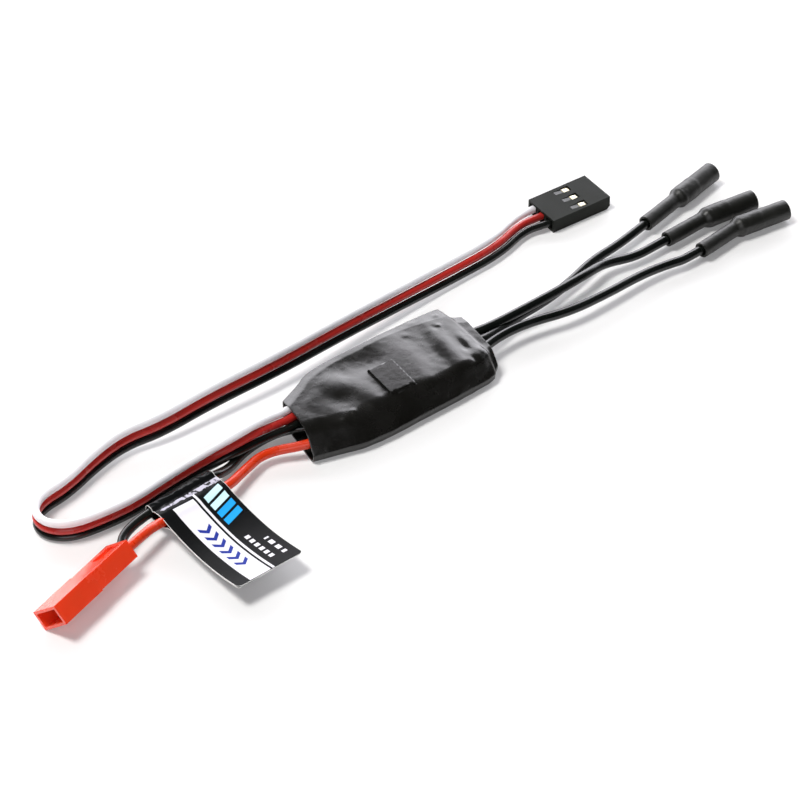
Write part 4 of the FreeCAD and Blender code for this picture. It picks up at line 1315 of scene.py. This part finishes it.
@dataclass
class ShrinkJacket:
    """The shrunk film over the boards, open at both ends, in millimetres.

    The chip is the middle and the half sides of the large chip's top, which shows in the film.
    """

    wall: float = 0.33
    top: float = 6.23
    low_round: float = 1.0
    fold_round: float = 0.5
    far_round: float = 2.0
    eaves_round: float = 0.45
    foot_inset: float = 0.25
    spans: tuple[int, ...] = (30, 10, 10, 60, 10, 4)
    corner_turns: int = 14
    sag: float = 0.06
    ripple: float = 0.025
    side_dent: float = 0.12
    stations: tuple[Station, ...] = (
        Station(-19.4, 11.0, 5.85, 5.75, 0.02, 6.0, 3.1, 2.6, 0.7, 1.8, 4.0, 0.1),
        Station(-15.0, 6.0, 7.3, 7.3, 0.02, 5.95, 3.1, 2.2, 0.5, 1.9, 4.4, 0.2),
        Station(-10.6, 0.0, 8.75, 8.75, 0.02, 5.92, 3.1, 1.8, 0.4, 1.9, 4.6, 0.2),
        Station(-5.0, 0.0, 9.15, 9.15, 0.02, 5.88, 3.0, 1.4, 0.3, 1.9, 4.6, 0.12),
        Station(1.5, 0.0, 9.15, 9.17, 0.02, 5.80, 3.0, 1.4, 0.3, 1.9, 4.4, 0.0),
        Station(5.0, 0.0, 9.15, 9.18, 0.02, 5.68, 2.5, 1.6, 0.3, 1.9, 2.4, -0.15),
        Station(9.0, 0.0, 9.15, 9.2, 0.02, 5.65, 2.4, 1.8, 0.35, 1.9, 2.2, -0.15),
        Station(15.6, 2.0, 8.95, 9.2, 0.02, 5.35, 2.4, 3.0, 0.5, 1.8, 1.8, -0.15),
        Station(17.75, 4.25, 8.6, 9.15, 0.1, 5.0, 2.5, 3.2, 0.5, 1.8, 1.6, -0.05),
        Station(18.3, 4.25, 8.0, 6.3, 0.4, 4.8, 2.5, 2.6, 0.4, 1.6, 1.6, 0.0),
        Station(19.8, 8.5, 7.45, 4.95, 0.8, 4.75, 2.3, 2.2, 0.4, 1.6, 1.6, 0.0),
    )
    lumps: tuple[Lump, ...] = (
        Lump(-8.9, 3.0, 2.0, 2.6, 0.55, 20, 2.2),
        Lump(-2.6, 5.0, 6.0, 3.0, -0.30, -4, 3.0),
        Lump(-6.2, -2.2, 1.6, 3.2, 0.42, -10, 2.4),
        Lump(-10.6, -1.2, 1.9, 2.2, -0.18),
        Lump(-10.7, -4.4, 0.62, 0.60, 0.17),
        Lump(-12.8, -4.7, 0.70, 0.65, 0.13),
        Lump(3.6, -0.9, 3.1, 10.0, 0.44, -9.5, 3.2),
        Lump(9.8, -1.4, 1.7, 6.5, -0.12, -12),
        Lump(12.4, -0.8, 1.6, 7.2, 0.32, -12, 2.4),
        Lump(11.6, 8.0, 0.9, 0.8, 0.08),
        Lump(8.4, 5.9, 0.9, 0.8, 0.09),
        Lump(16.5, 7.2, 0.6, 0.55, 0.15),
        Lump(14.0, 4.4, 0.6, 0.8, -0.14),
        Lump(15.0, 4.5, 0.5, 0.5, 0.12),
        Lump(15.0, -2.9, 0.7, 1.2, -0.20, -12),
        Lump(16.2, -0.6, 0.8, 1.9, 0.16, -12),
        Lump(16.9, -5.0, 0.9, 1.2, 0.22),
        Lump(14.4, -6.2, 0.7, 0.8, -0.18),
        Lump(12.9, -7.4, 0.8, 0.7, 0.18),
        Lump(15.4, -7.3, 0.7, 0.6, 0.18),
        Lump(-14.4, 2.4, 2.4, 1.2, 0.14, 20),
    )
    chip: tuple[float, float, float, float] = (-0.4, -1.6, 2.45, 3.6)
    chip_turn: float = -5.0
    chip_edge: float = 0.13
    headroom: float = 0.40
    clearance: float = 0.05
    rim: float = 0.06
    step: float = 0.2
    fine_step: float = 0.09

    def at(self, x: float) -> Station:
        """The outline at any place between the stations.

        Args:
            x: The place along the jacket.

        Returns:
            The outline there.
        """
        names = ("skew", "near", "far", "low", "high", "near_slope", "far_slope", "drop", "fold",
                 "near_round", "fall")
        values = {
            name: steady([(s.x, getattr(s, name)) for s in self.stations], x) for name in names
        }
        return Station(x, **values)

    def section(self, here: Station) -> list[tuple[float, float]]:
        """Points around the outline at a station.

        Args:
            here: The station.

        Returns:
            The points, across and up.
        """
        corners = (
            (-here.near + self.foot_inset, here.low, self.low_round),
            (here.far, here.low, self.low_round),
            (here.far, here.high - here.drop, self.eaves_round),
            (here.far - here.far_slope, here.high, self.far_round),
            (-here.near + here.near_slope, here.high - here.fall, here.near_round),
            (-here.near, here.low + here.fold, self.fold_round),
        )
        return rounded_ring(corners, self.spans, self.corner_turns)

    def imprint(self, x: float, y: float) -> float:
        """How near a place is to the flat top of the large chip.

        Args:
            x: The place along the jacket.
            y: The place across it.

        Returns:
            1 on the chip's top and 0 off it.
        """
        cx, cy, half_x, half_y = self.chip
        turn = math.radians(self.chip_turn)
        u = (x - cx) * math.cos(turn) + (y - cy) * math.sin(turn)
        v = -(x - cx) * math.sin(turn) + (y - cy) * math.cos(turn)
        outside = max(abs(u) - half_x, abs(v) - half_y)
        return eased(1 - outside / self.chip_edge)

    def lifted(self, x: float, y: float, z: float) -> float:
        """The height of the film's top face, pushed up by what is below it.

        Args:
            x: The place along the jacket.
            y: The place across it.
            z: Its height before.

        Returns:
            The new height.
        """
        rest = sum(lump.at(x, y) for lump in self.lumps)
        rest += noise.noise(Vector((x * 0.30, y * 0.26, 3.1))) * self.sag
        rest += noise.noise(Vector((x * 0.75, y * 0.7, 7.7))) * self.ripple
        bend = self.top - self.headroom
        over = z + rest - bend
        soft = z + rest
        if over >= 0:
            soft = bend + (self.headroom - self.clearance) * (1 - math.exp(-over / self.headroom))
        on_chip = self.imprint(x, y)
        return soft * (1 - on_chip) + self.top * on_chip

    def build(self) -> bpy.types.Object:
        """Make the film's mesh.

        Returns:
            The jacket, which stands for its node.
        """
        places = [self.stations[0].x]
        chip_left, chip_right = self.chip[0] - self.chip[2] - 1, self.chip[0] + self.chip[2] + 1
        while places[-1] < self.stations[-1].x - self.step / 2:
            fine = chip_left < places[-1] < chip_right
            places.append(places[-1] + (self.fine_step if fine else self.step))
        verts: list[Point] = []
        for x in places:
            here = self.at(x)
            lean = math.tan(math.radians(here.skew))
            for y, z in self.section(here):
                px = x + y * lean
                up = eased((z - here.low - here.fold) / (here.high - here.low - here.fold))
                lift = (self.lifted(px, y, z) - z) * up
                side = noise.noise(Vector((px * 0.3, y * 0.5, z * 0.8))) * self.side_dent * (1 - up)
                inward = -abs(side) if y > 0 else abs(side)
                verts.append((px, y + inward, max(z + lift, 0.0)))
        count = len(verts) // len(places)
        faces = []
        for ring in range(len(places) - 1):
            for step in range(count):
                a, b = ring * count + step, ring * count + (step + 1) % count
                faces.append((a, a + count, b + count, b))
        piece = mesh_piece("jacket_film", [[MM * part for part in v] for v in verts], faces)
        outward(piece)
        add_wall(piece, MM * self.wall)
        add_rounding(piece, MM * self.rim, segments=2, degrees=60)
        bake_modifiers(piece)
        smoothed(piece)
        dress(piece, Finish.JACKET)
        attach(piece, BODY)
        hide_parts("heat_shrink_jacket")
        LOG.info("jacket film: %d faces", len(piece.data.polygons))
        return piece


# Sleeves


@dataclass
class SleeveRule(NodeBuilder):
    """The rule of a shrunk sleeve, as a node tree: a tube along its line that widens past a neck."""

    around: int = 56
    rings: int = 110
    cup_fade: float = 0.6 * MM
    crease_lead: float = 1.0 * MM
    crease_trail: float = 3.0 * MM
    crease_scale: float = 900.0
    fold_scale: float = 330.0
    inputs: tuple[tuple[str, float], ...] = (
        ("Wire radius", 1.44 * MM),
        ("Socket radius", 1.91 * MM),
        ("Neck start", 8.6 * MM),
        ("Neck end", 10.2 * MM),
        ("Cup end", 14.2 * MM),
        ("Cup swell", 0.055 * MM),
        ("Wrinkle", 0.16 * MM),
        ("Crease", 0.22 * MM),
        ("Seed", 0.0),
    )

    def __post_init__(self) -> None:
        """Build the tree."""
        super().__init__(bpy.data.node_groups.new("shrunk_sleeve", "GeometryNodeTree"))
        face = self.tree.interface
        face.new_socket("Line", in_out="INPUT", socket_type="NodeSocketGeometry")
        for name, value in self.inputs:
            socket = face.new_socket(name, in_out="INPUT", socket_type="NodeSocketFloat")
            socket.default_value = value
        face.new_socket("Film", in_out="INPUT", socket_type="NodeSocketMaterial")
        face.new_socket("Sleeve", in_out="OUTPUT", socket_type="NodeSocketGeometry")
        self.given = self.add("NodeGroupInput").outputs
        line = self.add("GeometryNodeMeshToCurve")
        self.put(self.given["Line"], line.inputs["Mesh"])
        even = self.add("GeometryNodeResampleCurve")
        self.put(line.outputs["Curve"], even.inputs["Curve"])
        even.inputs["Count"].default_value = self.rings
        run = self.add("GeometryNodeCaptureAttribute")
        run.capture_items.new("FLOAT", "Run")
        self.put(even.outputs["Curve"], run.inputs["Geometry"])
        self.put(self.add("GeometryNodeSplineParameter").outputs["Length"], run.inputs["Run"])
        tube = self.add("GeometryNodeCurveToMesh")
        self.put(run.outputs["Geometry"], tube.inputs["Curve"])
        self.put(self.circle(), tube.inputs["Profile Curve"])
        self.put(self.radius(run.outputs["Run"]), tube.inputs["Scale"])
        moved = self.add("GeometryNodeSetPosition")
        self.put(tube.outputs["Mesh"], moved.inputs["Geometry"])
        self.put(self.wrinkles(run.outputs["Run"]), moved.inputs["Offset"])
        real = self.add("GeometryNodeRealizeInstances")
        self.put(moved.outputs["Geometry"], real.inputs["Geometry"])
        film = self.add("GeometryNodeSetMaterial")
        self.put(real.outputs["Geometry"], film.inputs["Geometry"])
        self.put(self.given["Film"], film.inputs["Material"])
        self.put(film.outputs["Geometry"], self.add("NodeGroupOutput").inputs["Sleeve"])

    def step(self, value: object, low: object, high: object, start: object,
             end: object) -> bpy.types.NodeSocket:
        """A smooth step of a value.

        Args:
            value: The value.
            low: Where the step starts.
            high: Where it ends.
            start: What it gives at low.
            end: What it gives at high.

        Returns:
            The stepped value.
        """
        node = self.add("ShaderNodeMapRange", interpolation_type="SMOOTHSTEP")
        for index, part in enumerate((value, low, high, start, end)):
            self.put(part, node.inputs[index])
        return node.outputs["Result"]

    def circle(self) -> bpy.types.NodeSocket:
        """The round profile, one metre in radius.

        Returns:
            The profile's curve.
        """
        node = self.add("GeometryNodeCurvePrimitiveCircle")
        node.inputs["Resolution"].default_value = self.around
        return node.outputs["Curve"]

    def radius(self, run: bpy.types.NodeSocket) -> bpy.types.NodeSocket:
        """The radius along the line: on the wire, over the cup and over the socket.

        Args:
            run: Distance along the line.

        Returns:
            The radius there.
        """
        given = self.given
        body = self.step(run, given["Neck start"], given["Neck end"], given["Wire radius"],
                         given["Socket radius"])
        past = self.sum("ADD", given["Cup end"], self.cup_fade)
        cup = self.step(run, given["Cup end"], past, given["Cup swell"], 0.0)
        swollen = self.step(run, given["Neck start"], given["Neck end"], 0.0, cup)
        return self.sum("ADD", body, swollen)

    def field(self, scale: float, detail: float) -> bpy.types.NodeSocket:
        """Noise over the sleeve's surface, different for each seed.

        Args:
            scale: The noise's scale.
            detail: How many finer layers it has.

        Returns:
            The noise, from -0.5 to 0.5.
        """
        cloud = self.add("ShaderNodeTexNoise", noise_dimensions="4D")
        self.put(self.add("GeometryNodeInputPosition").outputs[0], cloud.inputs["Vector"])
        self.put(self.given["Seed"], cloud.inputs["W"])
        cloud.inputs["Scale"].default_value = scale
        cloud.inputs["Detail"].default_value = detail
        return self.sum("SUBTRACT", cloud.outputs["Fac"], 0.5)

    def wrinkles(self, run: bpy.types.NodeSocket) -> bpy.types.NodeSocket:
        """How far each point moves: wrinkles all over, creases at the neck.

        Args:
            run: Distance along the line.

        Returns:
            The move along the normal.
        """
        given = self.given
        rising = self.step(run, self.sum("SUBTRACT", given["Neck start"], self.crease_lead),
                           given["Neck end"], 0.0, 1.0)
        trail = self.sum("ADD", given["Neck end"], self.crease_trail)
        falling = self.step(run, given["Neck end"], trail, 1.0, 0.0)
        at_neck = self.sum("MULTIPLY", self.sum("MULTIPLY", rising, falling), given["Crease"])
        creases = self.sum("MULTIPLY", self.field(self.crease_scale, 1.0), at_neck)
        folds = self.sum("MULTIPLY", self.field(self.fold_scale, 2.0), given["Wrinkle"])
        height = self.sum("ADD", creases, folds)
        offset = self.add("ShaderNodeVectorMath", operation="SCALE")
        self.put(self.add("GeometryNodeInputNormal").outputs["Normal"], offset.inputs[0])
        self.put(height, offset.inputs["Scale"])
        return offset.outputs[0]

    def apply(self, piece: bpy.types.Object, values: dict[str, object]) -> None:
        """Put the tree on a piece that is only a line.

        Args:
            piece: The piece.
            values: Inputs by name, where they differ from the tree's own.
        """
        modifier = piece.modifiers.new("sleeve", "NODES")
        modifier.node_group = self.tree
        for item in self.tree.interface.items_tree:
            if item.in_out == "INPUT" and item.name in values:
                modifier[item.identifier] = values[item.name]


@dataclass
class BulletSleeve:
    """A shrunk sleeve over the end of a motor lead and its socket.

    Sizes are in millimetres, and the ways that its two ends point are in degrees from X.
    """

    letter: str
    neck: tuple[float, float]
    wire_way: float
    socket_way: float
    seed: float
    height: float = 1.98
    narrow: float = 9.55
    wide: float = 10.75
    bend: float = 1.3
    wall: float = 0.40
    rim: float = 0.08
    steps: int = 60

    def middle(self, run: float) -> Vector:
        """The middle line of the sleeve.

        Args:
            run: Distance past the neck, negative on the wire's side.

        Returns:
            The place, in millimetres.
        """
        back, on = math.radians(self.wire_way), math.radians(self.socket_way)
        base = Vector((*self.neck, self.height))
        if abs(run) >= self.bend:
            way = on if run > 0 else back
            return base + Vector((math.cos(way), math.sin(way), 0)) * run
        t = (run + self.bend) / (2 * self.bend)
        start, end = self.middle(-self.bend), self.middle(self.bend)
        return start * (1 - t) ** 2 + base * (2 * t * (1 - t)) + end * t * t

    def build(self, rule: SleeveRule) -> bpy.types.Object:
        """Make the sleeve's mesh.

        Args:
            rule: The tree that all three sleeves share.

        Returns:
            The sleeve, which stands for its node.
        """
        total = self.narrow + self.wide
        runs = [-self.narrow + total * step / self.steps for step in range(self.steps + 1)]
        line = [self.middle(run) * MM for run in runs]
        mesh = bpy.data.meshes.new(f"sleeve_{self.letter}")
        mesh.from_pydata(line, [(i, i + 1) for i in range(self.steps)], [])
        piece = linked(mesh.name, mesh)
        rule.apply(piece, {"Seed": self.seed, "Film": material_of(Finish.SLEEVE)})
        bake_modifiers(piece)
        outward(piece)
        add_wall(piece, MM * self.wall)
        add_rounding(piece, MM * self.rim, segments=3, degrees=55)
        bake_modifiers(piece)
        smoothed(piece)
        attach(piece, BODY)
        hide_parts(f"bullet_sleeve_{self.letter}")
        LOG.info("sleeve %s: %d faces", self.letter, len(piece.data.polygons))
        return piece


# Plugs


@dataclass
class SignalPlug:
    """The flat three-contact plug: housing, latch tongues and the springs seen in its windows."""

    base: Point = (52.5, 20.8, 0.0)
    turn: float = -4.0
    pitch: float = 2.54
    window: float = 7.5
    spring: tuple[float, float] = (0.78, 0.65)
    spring_top: float = 2.6
    spring_rim: float = 2.4
    spring_tilt: float = 0.1
    spring_foot: float = 1.9
    spring_steps: int = 16
    tongue: tuple[float, float] = (4.9, 6.6)
    tongue_half: float = 0.48
    tongue_tops: tuple[float, float] = (2.735, 2.60)
    tongue_foot: float = 2.3
    tongue_rounding: float = 0.05
    rounding: float = 0.12

    def placed(self, x: float, y: float, z: float) -> Vector:
        """A point of the plug's own frame, in metres of the object's frame."""
        turned = Matrix.Rotation(math.radians(self.turn), 3, "Z") @ Vector((x, y, z))
        return (turned + Vector(self.base)) * MM

    def spring_height(self, u: float, v: float) -> float:
        """Height of the spring's dome at a place on it, from -1 to 1 along and across."""
        dome = (1 - abs(u) ** 6) * (1 - abs(v) ** 6)
        return self.spring_rim + (self.spring_top - self.spring_rim) * dome - self.spring_tilt * u

    def spring_piece(self, circuit: str, side: int) -> bpy.types.Object:
        """The domed spring of one contact, just under its window.

        Args:
            circuit: The wire's name.
            side: -1, 0 or 1 across the plug.

        Returns:
            The spring.
        """
        steps = self.spring_steps
        verts, faces = [], []
        for domed in (False, True):
            for i in range(steps + 1):
                for j in range(steps + 1):
                    u, v = 2 * i / steps - 1, 2 * j / steps - 1
                    height = self.spring_height(u, v) if domed else self.spring_foot
                    x = self.window + u * self.spring[0]
                    y = side * self.pitch + v * self.spring[1]
                    verts.append(self.placed(x, y, height))
        count = (steps + 1) ** 2
        for i in range(steps):
            for j in range(steps):
                a = i * (steps + 1) + j
                quad = (a, a + 1, a + steps + 2, a + steps + 1)
                faces += [quad, tuple(count + part for part in reversed(quad))]
        edge = [i * (steps + 1) for i in range(steps)]
        edge += [steps * (steps + 1) + j for j in range(steps)]
        edge += [(steps - i) * (steps + 1) + steps for i in range(steps)]
        edge += [steps - j for j in range(steps)]
        for a, b in zip(edge, edge[1:] + edge[:1]):
            faces.append((a, b, count + b, count + a))
        piece = mesh_piece(f"contact_spring_{circuit}", verts, faces)
        outward(piece)
        smoothed(piece, 50.0)
        dress(piece, Finish.SPRING)
        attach(piece, BODY)
        return piece

    def tongues(self) -> None:
        """The three moulded tongues behind the windows, each sloping down to its window."""
        verts, faces = [], []
        back, front = self.tongue
        for side in (-1, 0, 1):
            middle = side * self.pitch
            left, right = middle - self.tongue_half, middle + self.tongue_half
            first = len(verts)
            for x, top in ((back, self.tongue_tops[0]), (front, self.tongue_tops[1])):
                foot = self.tongue_foot
                for y, z in ((left, foot), (right, foot), (right, top), (left, top)):
                    verts.append(self.placed(x, y, z))
            quads = ((0, 1, 2, 3), (4, 7, 6, 5), (0, 4, 5, 1), (1, 5, 6, 2), (2, 6, 7, 3), (3, 7, 4, 0))
            faces += [tuple(first + part for part in quad) for quad in quads]
        piece = mesh_piece("latch_tongues", verts, faces, smooth=False)
        outward(piece)
        add_rounding(piece, MM * self.tongue_rounding, segments=2, degrees=30)
        bake_modifiers(piece)
        dress(piece, Finish.TONGUE)
        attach(piece, BODY)

    def build(self) -> tuple[bpy.types.Object, dict[str, bpy.types.Object]]:
        """Make the plug.

        Returns:
            The housing, and each circuit's spring.
        """
        piece = softened("servo_plug_housing", "signal_plug_housing", MM * self.rounding)
        dress(piece, Finish.SERVO_PLUG)
        self.tongues()
        springs = {
            circuit: self.spring_piece(circuit, side)
            for circuit, side in (("ground", -1), ("positive", 0), ("signal", 1))
        }
        LOG.info("signal plug: housing, tongues and %d springs", len(springs))
        return piece, springs


@dataclass
class BatteryPlug:
    """The red two-contact plug."""

    rounding: float = 0.15

    def build(self) -> bpy.types.Object:
        """Make the housing.

        Returns:
            The housing, which stands for its node.
        """
        piece = softened("battery_plug_housing", "battery_plug_shell", MM * self.rounding)
        dress(piece, Finish.BATTERY_PLUG)
        return piece


# Label


def along_points(points: Sequence[Vector], distances: Sequence[float], steps: int = 12) -> list[Vector]:
    """Places on a smooth curve through these points, by distance from its start.

    Args:
        points: What the curve passes through.
        distances: How far along each place is, in rising order.
        steps: Straight steps from point to point of the curve.

    Returns:
        The places.
    """
    fine: list[Vector] = []
    for index in range(len(points) - 1):
        before = points[max(0, index - 1)]
        start, end = points[index], points[index + 1]
        after = points[min(len(points) - 1, index + 2)]
        for step in range(steps):
            t = step / steps
            fine.append(0.5 * (2 * start + (end - before) * t
                               + (2 * before - 5 * start + 4 * end - after) * t * t
                               + (3 * start - before - 3 * end + after) * t ** 3))
    fine.append(points[-1])
    places = []
    index, passed = 0, 0.0
    for distance in distances:
        while index < len(fine) - 2 and passed + (fine[index + 1] - fine[index]).length < distance:
            passed += (fine[index + 1] - fine[index]).length
            index += 1
        run = (fine[index + 1] - fine[index]).length
        part = min(1.0, (distance - passed) / run)
        places.append(fine[index].lerp(fine[index + 1], part))
    return places


@dataclass
class LabelFlag:
    """The printed sticker: rolled around the black lead, over the red one, and on as a flag.

    Its lines are points across and up, in millimetres: the flag's from the object's frame, and
    those over and under the red lead from the lead's middle.
    """

    left: float = -50.78
    length: float = Finish.LABEL.value.width
    red_lead: tuple[Point, Point] = ((-50.9, -3.95, 3.0), (-37.6, -3.9, 2.9))
    black_lead: tuple[Point, Point] = ((-51.0, -0.6, 2.9), (-37.7, -0.1, 2.9))
    flag: tuple[tuple[float, float], ...] = (
        (-25.17, 3.98), (-21.8, 3.24), (-18.5, 2.78), (-15.0, 2.58), (-11.8, 2.66), (-9.2, 2.92),
        (-7.2, 3.26))
    ply: float = 0.08
    film: float = 0.12
    corner: float = 0.95
    edge: float = 0.06
    crumple: float = 0.22
    wave: float = 0.10
    dip: tuple[float, float] = (0.25, 0.90)
    roll_place: float = 2.2
    roll_width: float = 2.4
    roll_radius: float = 1.12
    tip_run: float = 0.6
    line_step: float = 0.22
    cut_reach: float = 4.0
    column_steps: int = 52
    over: tuple[tuple[float, float], ...] = ((-1.7, 0.66), (-0.8, 0.92), (0.1, 1.02), (0.9, 1.0))
    under: tuple[tuple[float, float], ...] = ((0.9, -0.98), (-0.1, -1.02), (-0.95, -0.6), (-1.9, -0.05))

    def on_lead(self, lead: tuple[Point, Point], x: float) -> tuple[float, float]:
        """Where a lead's middle is at a place along it.

        Args:
            lead: The two ends of the stretch under the label.
            x: The place.

        Returns:
            Its place across and up.
        """
        start, end = (Vector(point) for point in lead)
        spot = start.lerp(end, (x - start.x) / (end.x - start.x))
        return spot.y, spot.z

    def line(self, x: float) -> tuple[list[Vector], int]:
        """The sticker's line at one place along the leads, from tip to tip.

        Args:
            x: The place.

        Returns:
            Points across and up, and the number of the one in the dip between the leads.
        """
        red_y, red_z = self.on_lead(self.red_lead, x)
        black_y, black_z = self.on_lead(self.black_lead, x)
        points = [Vector((y, z + self.ply)) for y, z in self.flag]
        points += [Vector((red_y + y, red_z + z)) for y, z in self.over]
        dip = len(points)
        points.append(Vector(((red_y + black_y) / 2 + self.dip[0], black_z + self.dip[1])))
        for degrees in range(140, -101, -40):
            turn = math.radians(degrees)
            points.append(Vector((black_y + self.roll_radius * math.cos(turn),
                                  black_z + self.roll_radius * math.sin(turn))))
        points += [Vector((red_y + y, red_z + z)) for y, z in self.under]
        points += [Vector((y, z - self.ply)) for y, z in reversed(self.flag)]
        return points, dip

    def distances(self, total: float) -> list[float]:
        """Distances along the sticker's line, close together at both tips.

        Args:
            total: Length of the line.

        Returns:
            The distances, in rising order.
        """
        inner = [self.edge, 0.2, 0.4]
        rest = total - 2 * self.tip_run
        steps = round(rest / self.line_step)
        even = [self.tip_run + rest * step / steps for step in range(steps + 1)]
        return [0.0, *inner, *even, *(total - d for d in reversed(inner)), total]

    def cut_back(self, distance: float, total: float, inset: float) -> float:
        """Where a point goes when a column is cut back for the round corners.

        Args:
            distance: Its distance along the line.
            total: Length of the line.
            inset: How far the column's tips are cut back.

        Returns:
            Its new distance.
        """
        reach = self.cut_reach
        if distance < reach:
            return inset + distance * (1 - inset / reach)
        if distance > total - reach:
            return total - inset - (total - distance) * (1 - inset / reach)
        return distance

    def columns(self) -> list[float]:
        """Distances from the sticker's left edge, close together at both edges.

        Returns:
            The distances, in rising order.
        """
        inner = [0.0, self.edge, 0.15, 0.3, 0.5, 0.75, self.corner]
        rest = self.length - 2 * self.corner
        even = [self.corner + rest * step / self.column_steps for step in range(1, self.column_steps)]
        return [*inner, *even, *(self.length - d for d in reversed(inner))]

    def build(self) -> bpy.types.Object:
        """Make the label.

        Returns:
            The sticker, which stands for its node.
        """
        middle, dip = self.line(self.left + self.length / 2)
        total = sum((b - a).length for a, b in zip(middle, middle[1:]))
        to_dip = sum((b - a).length for a, b in zip(middle[:dip + 1], middle[1:dip + 1]))
        steps = self.distances(total)
        half = total / 2
        tip = Finish.LABEL.value.tip
        stretch = tip / to_dip
        verts: list[Point] = []
        marks: list[tuple[float, float]] = []
        columns = self.columns()
        for across in columns:
            x = self.left + across
            points, _ = self.line(x)
            border = min(across, self.length - across)
            inset = 0.0
            if border < self.corner:
                inset = self.corner - math.sqrt(self.corner ** 2 - (self.corner - border) ** 2)
            places = along_points(points, [self.cut_back(d, total, inset) for d in steps])
            for distance, place in zip(steps, places):
                rolled = math.exp(-((distance - to_dip - self.roll_place) / self.roll_width) ** 2)
                folds = noise.noise(Vector((x * 0.55, distance * 1.1, 2.0)))
                folds += 0.6 * noise.noise(Vector((x * 1.5, distance * 1.9, 5.0)))
                from_tip = min(distance, total - distance)
                wave = self.wave * noise.noise(Vector((x * 0.16, from_tip * 0.14, 9.0)))
                lift = wave * (1 - rolled) + folds * self.crumple * rolled
                verts.append((x, place.x, place.y + lift))
                if distance < half:
                    down = (to_dip - distance) * stretch
                else:
                    down = tip if distance == total else -tip
                marks.append((across, down))
        rows = len(steps)
        faces = []
        for column in range(len(columns) - 1):
            for row in range(rows - 1):
                a = column * rows + row
                faces.append((a, a + rows, a + rows + 1, a + 1))
        piece = mesh_piece("label_sticker", [[MM * part for part in v] for v in verts], faces)
        layer = piece.data.uv_layers.new(name="print")
        for loop in piece.data.loops:
            u, v = marks[loop.vertex_index]
            layer.data[loop.index].uv = (u / PRINT_UNIT, v / PRINT_UNIT)
        add_wall(piece, MM * self.film, offset=0.0)
        bake_modifiers(piece)
        outward(piece)
        smoothed(piece)
        dress(piece, Finish.LABEL)
        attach(piece, BODY)
        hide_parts("label_flag")
        LOG.info("label: %d faces, %.1f mm of print", len(piece.data.polygons), to_dip)
        return piece


# Boards


@dataclass
class BoardStack:
    """The boards inside the jacket and the parts on them."""

    finishes: tuple[tuple[Finish, tuple[str, ...]], ...] = (
        (Finish.BOARD, ("power_board", "control_board")),
        (Finish.CHIP, ("microcontroller", "upper_transistors", "lower_transistors", "voltage_regulators")),
        (Finish.TANTALUM, ("input_capacitors",)),
        (Finish.CERAMIC, ("ceramic_capacitors",)),
        (Finish.RESISTOR, ("gate_resistors",)),
        (Finish.TIN, ("microcontroller_leads", "resonator")),
        (Finish.SOLDER, ("signal_solder_joints", "battery_solder_joints", "motor_solder_joints")),
        (Finish.GOLD, ("board_link_pins", "servo_contact_signal", "servo_contact_positive",
                       "servo_contact_ground", "battery_pin_positive", "battery_pin_negative",
                       "bullet_socket_a", "bullet_socket_b", "bullet_socket_c")),
    )

    def build(self) -> None:
        """Dress the nodes that stay as they are."""
        for finish, names in self.finishes:
            for name in names:
                dress(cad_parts[name], finish)
        LOG.info("boards and contacts dressed")


def main() -> None:
    """Build every sub-assembly in order."""
    logging.basicConfig(level=logging.INFO, format="%(name)s: %(message)s")
    Studio().build()
    signal_plug, springs = SignalPlug().build()
    battery_plug = BatteryPlug().build()
    label = LabelFlag().build()
    rule = SleeveRule()
    sleeves = {
        sleeve.letter: sleeve.build(rule)
        for sleeve in (
            BulletSleeve("a", (74.9, 1.05), 1.7, -8.0, 1.7),
            BulletSleeve("b", (74.8, 8.46), 11.2, 11.2, 5.3),
            BulletSleeve("c", (77.6, -4.62), 5.6, -9.0, 9.1),
        )
    }
    SignalRibbon().build(signal_plug, springs)
    BatteryLeads().build(battery_plug, label)
    MotorLeads().build(sleeves)
    ShrinkJacket().build()
    BoardStack().build()


if __name__ == "__main__":
    main()
